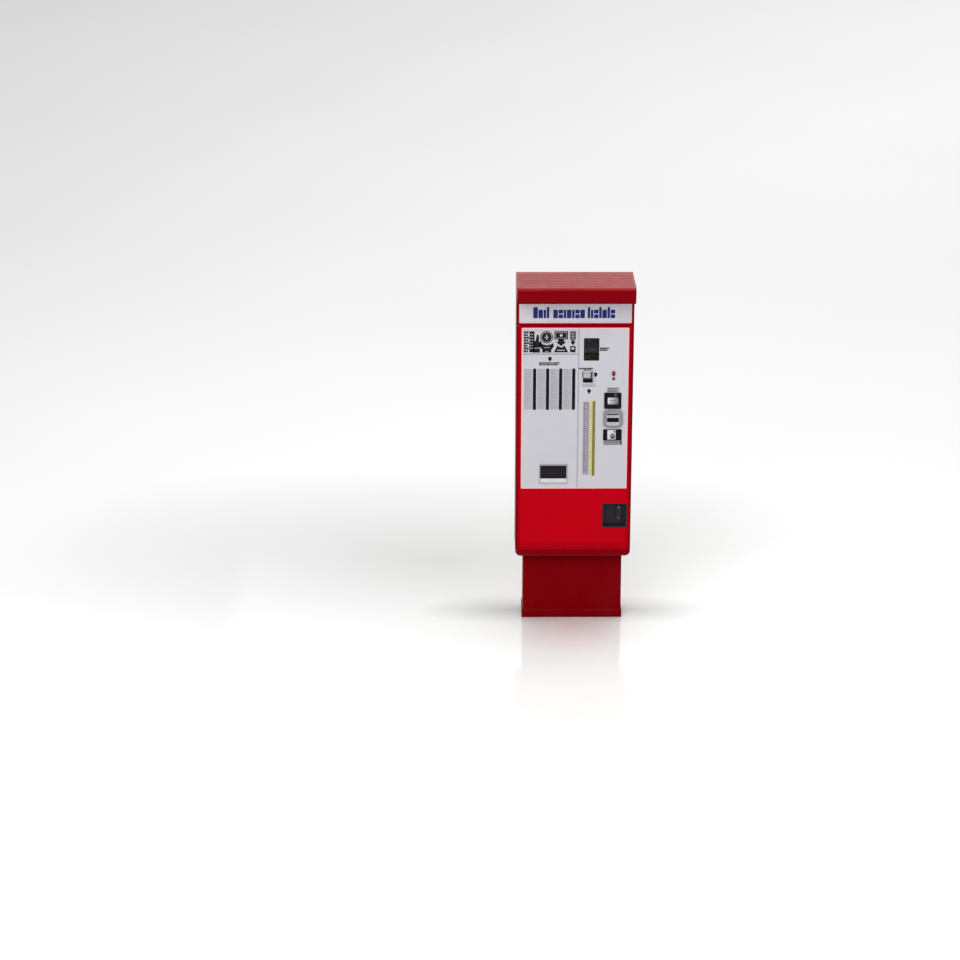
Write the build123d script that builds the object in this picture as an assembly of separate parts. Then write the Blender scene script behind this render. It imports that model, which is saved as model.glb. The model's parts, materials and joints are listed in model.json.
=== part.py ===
from build123d import *

import os
from math import acos, atan2, cos, pi, radians, sin, tan

# Ticket vending machine: a free-standing steel cabinet on a plinth, with a hood, a lit sign and a
# hinged front door.
#
# X runs from left to right as a customer faces the machine, Y from front to back, and Z up.
# The origin is on the floor, under the middle of the overall width and depth. Everything is in millimetres.

# Driving dimensions
WIDTH = 600.0
HEIGHT = 1873.0
DEPTH = 364.0  # hood front to cabinet back
BODY_DEPTH = 218.0  # door face to cabinet back
SHEET = 3.0
PLINTH_WIDTH = 517.0
PLINTH_DEPTH = 161.0
PLINTH_HEIGHT = 366.0
PLINTH_SHEET = 4.0
HOOD_FRONT = 82.0  # height of the hood's front face
HOOD_LEAN = 12.0  # how far the front face leans back over its height
HOOD_FALL = 24.0  # drop of the hood's top from front to back
CORNER = 28.0  # bottom corners of the body, seen from the front
EDGE = 12.0  # rounded front edges
NOSE = 22.0  # rounded front edge of the hood's top
DOOR_DEPTH = 36.0
DOOR_GAP = 3.0  # above and below the door
SEAL_GAP = 4.0  # between the door and the cabinet
FASCIA_LEFT, FASCIA_RIGHT = -273.0, 275.0
FASCIA_BOTTOM, FASCIA_TOP = 746.0, 1621.0
FASCIA_SPLIT = 19.5
FASCIA_SHEET = 2.0
RUNNING = 0.05  # radial clearance of a shaft that turns

# Levels that follow from them. Rounding the hood's nose takes a little off its sharp corner,
# so the corner stands that much outside the overall depth and height.
LEAN_ANGLE = atan2(HOOD_LEAN, HOOD_FRONT)
FALL_ANGLE = atan2(HOOD_FALL, DEPTH)
NOSE_REACH = NOSE / sin(pi / 4 - (LEAN_ANGLE + FALL_ANGLE) / 2)
NOSE_TILT = pi / 4 - (LEAN_ANGLE - FALL_ANGLE) / 2
HALF = WIDTH / 2
Y_BACK = DEPTH / 2
Y_HOOD = -DEPTH / 2 - (NOSE_REACH * cos(NOSE_TILT) - NOSE)
Z_HOOD = HEIGHT + (NOSE_REACH * sin(NOSE_TILT) - NOSE)
Y_FACE = Y_BACK - BODY_DEPTH
Y_DOOR = Y_FACE + DOOR_DEPTH
Y_CABINET = Y_DOOR + SEAL_GAP
Y_SKIN = Y_FACE + SHEET  # back of the door's front sheet
Y_FASCIA = Y_FACE - FASCIA_SHEET
INNER = HALF - SHEET
SILL_TOP = PLINTH_HEIGHT + 33.0
DOOR_BOTTOM = SILL_TOP + DOOR_GAP
HEADER_BOTTOM = FASCIA_TOP + 11.0
DOOR_TOP = HEADER_BOTTOM - DOOR_GAP
SOFFIT = HEIGHT - HOOD_FRONT
Y_HOOD_FOOT = Y_HOOD + (Z_HOOD - SOFFIT) * tan(LEAN_ANGLE)
INSIDE_BACK = Y_BACK - SHEET


# Shapes
STANDING = Align.CENTER, Align.CENTER, Align.MIN


def block(x, y, z):
    """A box from three (low, high) pairs."""
    size = [high - low for low, high in (x, y, z)]
    return Pos(x[0], y[0], z[0]) * Box(*size, align=(Align.MIN,) * 3)


def slab(x, y, z, r):
    """A box whose corners are rounded in the front view."""
    face = RectangleRounded(x[1] - x[0], z[1] - z[0], r)
    return Pos((x[0] + x[1]) / 2, y[1], (z[0] + z[1]) / 2) * Rot(90, 0, 0) * extrude(face, y[1] - y[0])


def rod_x(y, z, r, x):
    """A cylinder along X."""
    return Pos(x[0], y, z) * Rot(0, 90, 0) * Cylinder(r, x[1] - x[0], align=STANDING)


def rod_y(x, z, r, y):
    """A cylinder along Y."""
    return Pos(x, y[1], z) * Rot(90, 0, 0) * Cylinder(r, y[1] - y[0], align=STANDING)


def rod_z(x, y, r, z):
    """A cylinder along Z."""
    return Pos(x, y, z[0]) * Cylinder(r, z[1] - z[0], align=STANDING)


def along_x(outline, x):
    """A closed outline of (y, z) points, extruded along X."""
    face = Plane.YZ * make_face(Polyline(*outline, close=True))
    return Pos(x[0], 0, 0) * extrude(face, x[1] - x[0])


def along_y(outline, y):
    """A closed outline of (x, z) points, extruded along Y."""
    face = make_face(Polyline(*outline, close=True))
    return Pos(0, y[1], 0) * Rot(90, 0, 0) * extrude(face, y[1] - y[0])


def around(x, z, x_half, z_half):
    """The (low, high) pairs of a rectangle about a centre."""
    return (x - x_half, x + x_half), (z - z_half, z + z_half)


def grow(pair, by):
    return pair[0] - by, pair[1] + by


# Gear teeth
PRESSURE = radians(20)
ADDENDUM, DEDENDUM = 0.8, 1.1  # stub teeth, in modules
BACKLASH = 0.3
FLANK_STEPS = 4


def gear_face(module, teeth):
    """An involute gear's outline with a tooth on +X."""
    pitch_r = module * teeth / 2
    base_r = pitch_r * cos(PRESSURE)
    tip_r = pitch_r + ADDENDUM * module
    root_r = pitch_r - DEDENDUM * module

    def involute(r):
        a = acos(min(1.0, base_r / r))
        return tan(a) - a

    half_tooth = (pi * module / 2 - BACKLASH / 2) / (2 * pitch_r)
    start_r = max(base_r, root_r)
    radii = [start_r + (tip_r - start_r) * i / FLANK_STEPS for i in range(FLANK_STEPS + 1)]
    flank = [(r, half_tooth + involute(pitch_r) - involute(r)) for r in radii]
    foot = (root_r, flank[0][1] + 0.1 * module / pitch_r)
    points = []
    for tooth in range(teeth):
        middle = 2 * pi * tooth / teeth
        rising = [(r, middle - a) for r, a in [foot, *flank]]
        falling = [(r, middle + a) for r, a in [*flank[::-1], foot]]
        points += [(r * cos(a), r * sin(a)) for r, a in rising + falling]
    return make_face(Polyline(*points, close=True))


def rack_outline(module, x_pitch, side, z_middle, teeth, x_back, z_low, z_high):
    """A bar with rack teeth facing -side, and a tooth space at z_middle."""
    pitch = pi * module
    tip, root = ADDENDUM * module, DEDENDUM * module
    half = (pitch / 2 - BACKLASH / 2) / 2
    points = [(x_back, z_low), (x_pitch + side * root, z_low)]
    for i in range(teeth):
        middle = z_middle + (i + 0.5 - teeth / 2) * pitch
        wide, narrow = half + root * tan(PRESSURE), half - tip * tan(PRESSURE)
        points += [
            (x_pitch + side * root, middle - wide),
            (x_pitch - side * tip, middle - narrow),
            (x_pitch - side * tip, middle + narrow),
            (x_pitch + side * root, middle + wide),
        ]
    return points + [(x_pitch + side * root, z_high), (x_back, z_high)]


# Plinth
BASE_THICK = 8.0
KICK = 4.5, 42.0  # thickness and top of the strip round the plinth's foot
ANCHOR_R = 7.0
ANCHOR_X, ANCHOR_Y = 400.0, 94.0  # hole to hole
CABLE_R = 30.0
Y_PLINTH = Y_BACK - PLINTH_DEPTH
PLINTH_MIDDLE = (Y_PLINTH + Y_BACK) / 2
CABLE_SLOT = (-60.0, 60.0), (PLINTH_MIDDLE - 25.0, PLINTH_MIDDLE + 25.0)


def base_plate():
    """Floor plate, with an upright kick strip round the plinth's foot on three sides."""
    x_half = PLINTH_WIDTH / 2
    plate = block((-x_half - KICK[0], x_half + KICK[0]), (Y_PLINTH - KICK[0], Y_BACK), (0, KICK[1]))
    plate = fillet(plate.edges().filter_by(Axis.Z).group_by(Axis.Y)[0], KICK[0] - 0.5)
    plate = fillet(plate.faces().sort_by(Axis.Z)[-1].edges().group_by(Axis.Y)[0], KICK[0] / 2)
    plate -= block((-x_half, x_half), (Y_PLINTH, Y_BACK), (BASE_THICK, KICK[1]))
    plate -= rod_z(0, PLINTH_MIDDLE, CABLE_R, (0, BASE_THICK))
    for x in (-ANCHOR_X / 2, ANCHOR_X / 2):
        for y in (-ANCHOR_Y / 2, ANCHOR_Y / 2):
            plate -= rod_z(x, PLINTH_MIDDLE + y, ANCHOR_R, (0, BASE_THICK))
    return plate


def plinth_shell():
    """Left, right and back walls in one folded sheet."""
    x_half = PLINTH_WIDTH / 2
    outer = block((-x_half, x_half), (Y_PLINTH + PLINTH_SHEET, Y_BACK), (BASE_THICK, PLINTH_HEIGHT))
    back_edges = outer.edges().filter_by(Axis.Z).group_by(Axis.Y)[-1]
    outer = fillet(back_edges, 2 * PLINTH_SHEET)
    x_in = x_half - PLINTH_SHEET
    return outer - block((-x_in, x_in), (0, Y_BACK - PLINTH_SHEET), (0, HEIGHT))


def plinth_front_cover():
    x_half = PLINTH_WIDTH / 2
    cover = block((-x_half, x_half), (Y_PLINTH, Y_PLINTH + PLINTH_SHEET), (BASE_THICK, PLINTH_HEIGHT))
    return fillet(cover.edges().filter_by(Axis.Z).group_by(Axis.Y)[0], PLINTH_SHEET - 0.5)


# Cabinet
FLANGE = 30.0  # return flange beside the door opening
FLOOR_X = HALF - CORNER - 4.0
LOUVRE = (110.0, 4.0)
LOUVRE_PITCH = 10.0
LOUVRE_ROWS = 11
FAN_X, FAN_Z = 150.0, 1500.0
INTAKE_X, INTAKE_Z = -160.0, 500.0
SCREW_R = 4.5
SCREW_ROWS = 6
SCREW_X = 284.0


def rounded_foot(x_half, y, z, r):
    """A box with its two bottom corners rounded in the front view."""
    box = block((-x_half, x_half), y, z)
    return fillet(box.edges().filter_by(Axis.Y).group_by(Axis.Z)[0], r)


def side_panel(hand):
    """Wall, rounded bottom corner, front flange and the cheek of the hood, in one folded sheet."""
    y = Y_CABINET, Y_BACK
    panel = rounded_foot(HALF, y, (PLINTH_HEIGHT, SOFFIT), CORNER)
    panel -= rounded_foot(INNER, y, (PLINTH_HEIGHT + SHEET, SOFFIT), CORNER - SHEET)
    panel -= block((-HALF, FLOOR_X), y, (PLINTH_HEIGHT, SOFFIT))
    flange_z = PLINTH_HEIGHT + CORNER, SOFFIT
    panel += block((INNER - FLANGE, INNER), (Y_CABINET, Y_CABINET + SHEET), flange_z)
    cheek = along_x(hood_outline(), (INNER, HALF))
    cheek = fillet(cheek.edges().filter_by(Axis.X).sort_by_distance((HALF, Y_HOOD, Z_HOOD))[0], NOSE)
    panel += cheek
    return panel if hand > 0 else mirror(panel, Plane.YZ)


def hood_outline():
    """The hood in side view."""
    return [
        (Y_BACK, SOFFIT),
        (Y_HOOD_FOOT, SOFFIT),
        (Y_HOOD, Z_HOOD),
        (Y_BACK, Z_HOOD - (Y_BACK - Y_HOOD) * tan(FALL_ANGLE)),
    ]


def back_panel():
    z = PLINTH_HEIGHT + SHEET, HEIGHT - HOOD_FALL - 2 * SHEET
    panel = rounded_foot(INNER, (INSIDE_BACK, Y_BACK), z, CORNER - SHEET)
    for x, z in ((FAN_X, FAN_Z), (INTAKE_X, INTAKE_Z)):
        for row in range(LOUVRE_ROWS):
            slot_z = z + (row - (LOUVRE_ROWS - 1) / 2) * LOUVRE_PITCH
            xs, zs = around(x, slot_z, LOUVRE[0] / 2, LOUVRE[1] / 2)
            panel -= slab(xs, (INSIDE_BACK, Y_BACK), zs, LOUVRE[1] / 2 - 0.1)
    for x, z in screw_places():
        panel -= rod_y(x, z, SCREW_R, (INSIDE_BACK, Y_BACK))
    return panel


def screw_places():
    low, high = PLINTH_HEIGHT + 60.0, HEIGHT - 70.0
    rows = [low + (high - low) * i / (SCREW_ROWS - 1) for i in range(SCREW_ROWS)]
    return [(x, z) for z in rows for x in (-SCREW_X, SCREW_X)]


def back_panel_screws():
    screws = []
    for x, z in screw_places():
        head = rod_y(x, z, SCREW_R, (INSIDE_BACK - 6.0, Y_BACK))
        recess = slab(*[(x - 0.6, x + 0.6), (Y_BACK - 1.2, Y_BACK), (z - 3.2, z + 3.2)], 0.5)
        screws.append(head - recess)
    return Compound(screws)


HOOD_LIP = 20.0
RIB_PITCH = 34.0
RIB_COUNT = 9
RIB_X = 289.0
RIB_WIDTH, RIB_HEIGHT = 11.0, 1.4


def hood_cover():
    """Top, front face and bottom lip in one folded sheet, with shallow ribs across the top."""
    outer = along_x(hood_outline(), (-INNER, INNER))
    outer = fillet(outer.edges().filter_by(Axis.X).sort_by_distance((0, Y_HOOD, Z_HOOD))[0], NOSE)
    fall, lean = tan(FALL_ANGLE), tan(LEAN_ANGLE)
    wall_y, wall_z = SHEET / cos(LEAN_ANGLE), SHEET / cos(FALL_ANGLE)
    inner_y = Y_HOOD + wall_y + wall_z * lean
    back_z = Z_HOOD - wall_z - (Y_BACK + 1 - Y_HOOD) * fall
    hollow = [
        (Y_BACK + 1, SOFFIT + SHEET),
        (inner_y + (Z_HOOD - wall_z - SOFFIT - SHEET) * lean, SOFFIT + SHEET),
        (inner_y, Z_HOOD - wall_z - (inner_y - Y_HOOD) * fall),
        (Y_BACK + 1, back_z),
    ]
    cut = along_x(hollow, (-INNER, INNER))
    cut = fillet(cut.edges().filter_by(Axis.X).sort_by_distance((0, Y_HOOD, Z_HOOD))[0], NOSE - SHEET)
    lip_end = Y_HOOD_FOOT + HOOD_LIP
    cover = outer - cut - block((-INNER, INNER), (lip_end, Y_BACK), (SOFFIT, SOFFIT + SHEET))
    for i in range(RIB_COUNT):
        y = Y_HOOD + RIB_PITCH * (i + 1.5)
        z = Z_HOOD - fall * (y - Y_HOOD)
        rib = extrude(Ellipse(RIB_HEIGHT, RIB_WIDTH / 2), 2 * RIB_X)
        cover += Pos(-RIB_X, y, z) * Rot(0, 90, 0) * rib
    return cover


def floor_and_roof():
    """The cabinet's floor with its cable slot, and the sheet that closes its top."""
    floor = block((-FLOOR_X, FLOOR_X), (Y_CABINET, INSIDE_BACK), (PLINTH_HEIGHT, PLINTH_HEIGHT + SHEET))
    floor -= block(*CABLE_SLOT, (PLINTH_HEIGHT, PLINTH_HEIGHT + SHEET))
    roof_y = Y_HOOD_FOOT + HOOD_LIP, INSIDE_BACK
    return Compound([floor, block((-INNER, INNER), roof_y, (SOFFIT, SOFFIT + SHEET))])


# Header with the lit sign
SIGN_X = 287.0
SIGN_BOTTOM, SIGN_TOP = 1644.0, 1760.0
SIGN_GAP = 0.5
LAMP_R = 9.0
LAMP_X = 234.0
HOLDER = 12.0, 9.5  # width, and half of the depth


def rounded_front(x_half, y, z, r):
    """A box with its two upright front edges rounded."""
    box = block((-x_half, x_half), y, z)
    return fillet(box.edges().filter_by(Axis.Z).group_by(Axis.Y)[0], r)


def header_frame():
    frame = rounded_front(HALF, (Y_FACE, Y_CABINET), (HEADER_BOTTOM, SOFFIT), EDGE)
    inside_z = HEADER_BOTTOM + SHEET, SOFFIT - SHEET
    frame -= rounded_front(INNER, (Y_SKIN, Y_CABINET + 1), inside_z, EDGE - SHEET)
    frame -= slab((-SIGN_X, SIGN_X), (Y_FACE, Y_SKIN), (SIGN_BOTTOM, SIGN_TOP), 4)
    frame -= rod_z(HINGE_X, HINGE_Y, PIN_R, (HEADER_BOTTOM, HEADER_BOTTOM + SHEET))
    return frame - block(*rod_slot(UPPER_ROD), (HEADER_BOTTOM, HEADER_BOTTOM + SHEET))


def sign_panel():
    x = SIGN_X - SIGN_GAP
    z = SIGN_BOTTOM + SIGN_GAP, SIGN_TOP - SIGN_GAP
    return slab((-x, x), (Y_FACE + 1, Y_SKIN + 1), z, 4 - SIGN_GAP)


def sign_lamp():
    """A lamp tube in two end holders that stand on the header's lower wall."""
    y, z = Y_FACE + 22.0, (SIGN_BOTTOM + SIGN_TOP) / 2
    tube = rod_x(y, z, LAMP_R, (-LAMP_X, LAMP_X))
    holders = []
    for x in (-LAMP_X - HOLDER[0], LAMP_X):
        foot = block((x, x + HOLDER[0]), grow((y, y), HOLDER[1]), (HEADER_BOTTOM + SHEET, z + 14))
        holders.append(fillet(foot.edges().filter_by(Axis.X), 2))
    return Compound([tube, *holders])


def bottom_sill():
    """Fixed strip under the door, with the body's rounded bottom corners."""
    outer = slab((-HALF, HALF), (Y_FACE, Y_CABINET), (PLINTH_HEIGHT, PLINTH_HEIGHT + 3 * CORNER), CORNER)
    outer = fillet(outer.faces().sort_by(Axis.Y)[0].edges(), EDGE)
    inner = slab(
        (-INNER, INNER),
        (Y_SKIN, Y_CABINET + 1),
        (PLINTH_HEIGHT + SHEET, PLINTH_HEIGHT + 3 * CORNER - SHEET),
        CORNER - SHEET,
    )
    inner = fillet(inner.faces().sort_by(Axis.Y)[0].edges(), EDGE - SHEET)
    above = block((-HALF, HALF), (-DEPTH, DEPTH), (SILL_TOP, HEIGHT))
    under_top = block((-HALF, HALF), (-DEPTH, DEPTH), (SILL_TOP - SHEET, HEIGHT))
    sill = outer - (inner - under_top) - above
    sill -= rod_z(HINGE_X, HINGE_Y, PIN_R, (SILL_TOP - SHEET, SILL_TOP))
    return sill - block(*rod_slot(LOWER_ROD), (SILL_TOP - SHEET, SILL_TOP))


def door_stop_rails():
    """Flanges above and below the door opening, which the seal is stuck to."""
    x = INNER - FLANGE
    y = Y_CABINET, Y_CABINET + SHEET
    low = block((-x, x), y, (PLINTH_HEIGHT + SHEET, SILL_TOP + 26))
    high = block((-x, x), y, (HEADER_BOTTOM - 26, HEADER_BOTTOM))
    return Compound([low, high])


SEAL_WIDTH = 10.0
SEAL_REST = 0.6  # clear of the door


def door_seal():
    """Four rubber strips round the door opening."""
    x_out, x_in = INNER - FLANGE + 11, INNER - FLANGE + 11 - SEAL_WIDTH
    low, high = SILL_TOP + 8, HEADER_BOTTOM - 8
    y = Y_DOOR + SEAL_REST, Y_CABINET
    strips = [block(x, y, (low, high)) for x in ((-x_out, -x_in), (x_in, x_out))]
    strips += [block((-x_in, x_in), y, z) for z in ((low, low + SEAL_WIDTH), (high - SEAL_WIDTH, high))]
    return Compound(strips)


# Door hinge
HINGE_INSET = 11.0
HINGE_X = -HALF + HINGE_INSET
HINGE_Y = Y_FACE + HINGE_INSET
PIN_R = 4.0
BOSS = 14.0
COLLAR_R = 8.0


def hinge_pins():
    """A pin from the header down into the door, and one from the sill up into it."""
    top = rod_z(HINGE_X, HINGE_Y, PIN_R, (DOOR_TOP - BOSS, HEADER_BOTTOM + 9))
    top += rod_z(HINGE_X, HINGE_Y, COLLAR_R, (DOOR_TOP + 0.2, HEADER_BOTTOM))
    low = rod_z(HINGE_X, HINGE_Y, PIN_R, (SILL_TOP - 9, DOOR_BOTTOM + BOSS))
    low += rod_z(HINGE_X, HINGE_Y, COLLAR_R, (SILL_TOP, DOOR_BOTTOM - 0.2))
    return Compound([top, low])


# Door lock: a handle turns a pinion between two racks, which push the rods out
LOCK_X, LOCK_Z = (151.0, 279.0), (528.0, 662.0)
HANDLE_X, HANDLE_Z = 237.0, 580.0
HANDLE_LENGTH = 60.0
HANDLE_R = 12.0
DISH_BACK = Y_FACE + 24.0
DISH_FLOOR = DISH_BACK - 2.0
LOCK_MODULE, LOCK_TEETH = 1.25, 16
PINION_R = LOCK_MODULE * LOCK_TEETH / 2
ROD_Y = Y_DOOR - 10.0, Y_DOOR - 4.0
ROD_BACK = 20.0  # from the handle's axis to the rods' outer side
UPPER_ROD = HANDLE_X + PINION_R - ADDENDUM * LOCK_MODULE, HANDLE_X + ROD_BACK
LOWER_ROD = HANDLE_X - ROD_BACK, HANDLE_X - PINION_R + ADDENDUM * LOCK_MODULE
ROD_FREE = 0.4
CYLINDER_R = 7.0


def rod_slot(rod):
    """The X and Y sides of a hole that a lock rod slides through."""
    return grow(rod, ROD_FREE), grow(ROD_Y, ROD_FREE)


def lock_dish():
    """Recessed tray round the handle."""
    x_hole, z_hole = grow(LOCK_X, -4), grow(LOCK_Z, -4)
    dish = slab(LOCK_X, (Y_FACE - 1.5, Y_FACE), LOCK_Z, 6)
    dish += slab(grow(x_hole, -0.3), (Y_FACE, DISH_BACK), grow(z_hole, -0.3), 5)
    dish -= slab(grow(x_hole, -2.5), (Y_FACE - 1.5, DISH_FLOOR), grow(z_hole, -2.5), 4)
    return dish - rod_y(HANDLE_X, HANDLE_Z, PIN_R + RUNNING, (DISH_FLOOR, DISH_BACK))


def lock_handle():
    """Lever with rounded ends, standing on a hub."""
    z = HANDLE_Z - HANDLE_R, HANDLE_Z + HANDLE_LENGTH + HANDLE_R
    lever = slab((HANDLE_X - HANDLE_R, HANDLE_X + HANDLE_R), (Y_FACE + 2, Y_FACE + 13), z, HANDLE_R - 0.1)
    lever = fillet(lever.faces().sort_by(Axis.Y)[0].edges(), 3)
    lever += rod_y(HANDLE_X, HANDLE_Z, 10, (Y_FACE + 13, DISH_FLOOR - 0.3))
    bore = rod_y(HANDLE_X, HANDLE_Z + HANDLE_LENGTH, CYLINDER_R + RUNNING, (Y_FACE + 2, Y_FACE + 11))
    return lever - bore


def lock_cylinder():
    """Key barrel in the tip of the handle."""
    z = HANDLE_Z + HANDLE_LENGTH
    barrel = rod_y(HANDLE_X, z, CYLINDER_R, (Y_FACE + 1, Y_FACE + 10.9))
    return barrel - block((HANDLE_X - 0.7, HANDLE_X + 0.7), (Y_FACE, Y_FACE + 7), (z - 4, z + 4))


def lock_spindle():
    """Shaft through the dish, with the pinion on it."""
    shaft = rod_y(HANDLE_X, HANDLE_Z, PIN_R, (DISH_FLOOR - 0.3, Y_DOOR - 3))
    pinion = extrude(gear_face(LOCK_MODULE, LOCK_TEETH), ROD_Y[1] - ROD_Y[0])
    return shaft + Pos(HANDLE_X, ROD_Y[1], HANDLE_Z) * Rot(90, 0, 0) * pinion


def lock_rod_upper():
    outline = rack_outline(
        LOCK_MODULE, HANDLE_X + PINION_R, 1, HANDLE_Z, 12, UPPER_ROD[1], HANDLE_Z - 26, DOOR_TOP - SHEET
    )
    return along_y(outline, ROD_Y)


def lock_rod_lower():
    outline = rack_outline(
        LOCK_MODULE, HANDLE_X - PINION_R, -1, HANDLE_Z, 12, LOWER_ROD[0], DOOR_BOTTOM + SHEET, HANDLE_Z + 26
    )
    return along_y(outline, ROD_Y)


GUIDE_LEVELS = 720.0, 980.0, 1300.0, 1570.0


def lock_case():
    """Cover over the pinion on four posts, and the brackets that the upper rod slides through."""
    x, z = (HANDLE_X - 30, HANDLE_X + 27.5), (HANDLE_Z - 40, HANDLE_Z + 40)
    case = slab(x, (Y_DOOR - 2.5, Y_DOOR - 0.5), z, 4)
    for post_x in (x[0] + 4, x[1] - 4):
        for post_z in (z[0] + 4, z[1] - 4):
            case += rod_y(post_x, post_z, 3, (DISH_BACK, Y_DOOR - 2.5))
    x_slot, y_slot = rod_slot(UPPER_ROD)
    guides = []
    for level in GUIDE_LEVELS:
        z = level - 5, level + 5
        loop = block(grow(x_slot, 2), (y_slot[0] - 2, y_slot[1] + 2), z) - block(x_slot, y_slot, z)
        guides.append(loop + block((x_slot[1], x_slot[1] + 4), (Y_SKIN, y_slot[1] + 2), z))
    return Compound([case, *guides])


# What the door carries: (x, z) sides of each thing on its front
DISPLAY = (48.0, 120.0), (1448.0, 1562.0)
CARD = (35.0, 98.0), (1320.0, 1392.0)
COIN = (152.0, 240.0), (1184.0, 1271.0)
NOTE = (148.0, 249.0), (1081.0, 1179.0)
RETURN_KEY = (171.0, 214.0), (1017.0, 1069.0)
TRAY = (-180.0, -31.0), (773.0, 881.0)
CANCEL = (191.0, 207.0), (1361.0, 1388.0)
KEY_FREE = 0.4


def neck(sides, by=5.0):
    """The hole behind a thing that stands on the door's front, smaller than it all round."""
    return grow(sides[0], -by), grow(sides[1], -by)


def door_cutouts(y):
    """Everything that passes through the door's front, between two depths."""
    holes = [slab(DISPLAY[0], y, DISPLAY[1], 2)]
    for sides in (neck(CARD), neck(COIN), neck(NOTE), neck(TRAY, 3.0)):
        holes.append(slab(sides[0], y, sides[1], 2))
    holes.append(slab(grow(RETURN_KEY[0], KEY_FREE), y, grow(RETURN_KEY[1], KEY_FREE), 4))
    holes.append(slab(grow(CANCEL[0], KEY_FREE), y, grow(CANCEL[1], KEY_FREE), 8))
    return holes


def door_skin():
    """A folded pan with return lips at the back and a boss at each hinge pin."""
    z = DOOR_BOTTOM, DOOR_TOP
    skin = rounded_front(HALF, (Y_FACE, Y_DOOR), z, EDGE)
    skin -= rounded_front(INNER, (Y_SKIN, Y_DOOR - SHEET), grow(z, -SHEET), EDGE - SHEET)
    lip = FLANGE
    skin -= block((-HALF + lip, HALF - lip), (Y_DOOR - SHEET, Y_DOOR), grow(z, -lip))
    for hole in door_cutouts((Y_FACE, Y_SKIN)):
        skin -= hole
    skin -= slab(grow(LOCK_X, -4), (Y_FACE, Y_SKIN), grow(LOCK_Z, -4), 5)
    for low in (z[0] + SHEET, z[1] - BOSS):
        skin += block((-INNER, -INNER + 17), (Y_SKIN, Y_SKIN + 17), (low, low + BOSS - SHEET))
    skin -= rod_z(HINGE_X, HINGE_Y, PIN_R + RUNNING, (z[0], z[0] + BOSS + 0.2))
    skin -= rod_z(HINGE_X, HINGE_Y, PIN_R + RUNNING, (z[1] - BOSS - 0.2, z[1]))
    skin -= block(*rod_slot(UPPER_ROD), (z[1] - SHEET, z[1]))
    return skin - block(*rod_slot(LOWER_ROD), (z[0], z[0] + SHEET))


def fascia(x):
    """One of the two printed plates on the door."""
    plate = slab(x, (Y_FASCIA, Y_FACE), (FASCIA_BOTTOM, FASCIA_TOP), 5)
    for hole in door_cutouts((Y_FASCIA, Y_FACE)):
        plate -= hole
    return plate


# Keys and printed inserts on the left fascia
KEY_COLUMNS = 4
KEY_ROWS = 12
KEY_PITCH = 66.8
FIRST_KEY_X = -206.0
KEY_STRIP = 16.0
KEY_Z = (1179.0, 1402.0)
LIST_OFFSET = -33.0
LIST_WIDTH = 40.0
GUIDE_PLATE = (-265.0, 4.0), (1485.0, 1607.0)
TYPE_LIST = (45.0, 75.0), (823.0, 1223.0)
PAYMENT_LABELS = ((166.0, 228.0), (1273.0, 1299.0)), ((150.0, 248.0), (986.0, 1011.0))
TYPE_KEYS = (78.0, 107.0), (816.0, 1227.0)
TYPE_ROWS = 20


def key_column_x(column):
    return FIRST_KEY_X + KEY_PITCH * column


def destination_key_strips():
    """Four sealed key strips, each with a column of embossed keys."""
    strips = []
    row_pitch = (KEY_Z[1] - KEY_Z[0]) / KEY_ROWS
    for column in range(KEY_COLUMNS):
        x = key_column_x(column)
        strip = slab((x - KEY_STRIP / 2, x + KEY_STRIP / 2), (Y_FASCIA - 1.5, Y_FASCIA), KEY_Z, 4)
        for row in range(KEY_ROWS):
            xs, zs = around(x, KEY_Z[0] + row_pitch * (row + 0.5), 5.5, row_pitch / 2 - 2.5)
            strip += slab(xs, (Y_FASCIA - 2.5, Y_FASCIA - 1.5), zs, 2.5)
        strips.append(strip)
    return Compound(strips)


def ticket_type_keys():
    """One sealed key strip with a column of keys along its left side."""
    strip = slab(TYPE_KEYS[0], (Y_FASCIA - 1.5, Y_FASCIA), TYPE_KEYS[1], 4)
    row_pitch = (TYPE_KEYS[1][1] - TYPE_KEYS[1][0] - 6) / TYPE_ROWS
    x = TYPE_KEYS[0][0] + 2.0, TYPE_KEYS[0][0] + 15.0
    for row in range(TYPE_ROWS):
        z = TYPE_KEYS[1][0] + 3 + row_pitch * (row + 0.5)
        strip += slab(x, (Y_FASCIA - 3, Y_FASCIA - 1.5), grow((z, z), row_pitch / 2 - 1.5), 2.5)
    return strip


def printed_inserts():
    """The instruction plate, the four destination lists, the list of ticket types and the coin labels."""
    y = Y_FASCIA - 1, Y_FASCIA
    inserts = [slab(x, y, z, 2) for x, z in (GUIDE_PLATE, TYPE_LIST, *PAYMENT_LABELS)]
    for column in range(KEY_COLUMNS):
        x = key_column_x(column) + LIST_OFFSET
        inserts.append(slab((x - LIST_WIDTH / 2, x + LIST_WIDTH / 2), y, grow(KEY_Z, -3), 2))
    return Compound(inserts)


def display_window():
    return slab(grow(DISPLAY[0], -0.2), (Y_FACE - 1.5, Y_FACE + 1.5), grow(DISPLAY[1], -0.2), 1.8)


def display_module():
    module = block(grow(DISPLAY[0], 8), (Y_SKIN, Y_SKIN + 20), grow(DISPLAY[1], 8))
    return module - block(DISPLAY[0], (Y_SKIN, Y_SKIN + 3), DISPLAY[1])


CARD_SLOT = 54.6, 3.4
CARD_SLOT_Z = 1334.0
CARD_MOUTH = (41.0, 92.0), (1328.0, 1350.0)


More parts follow.
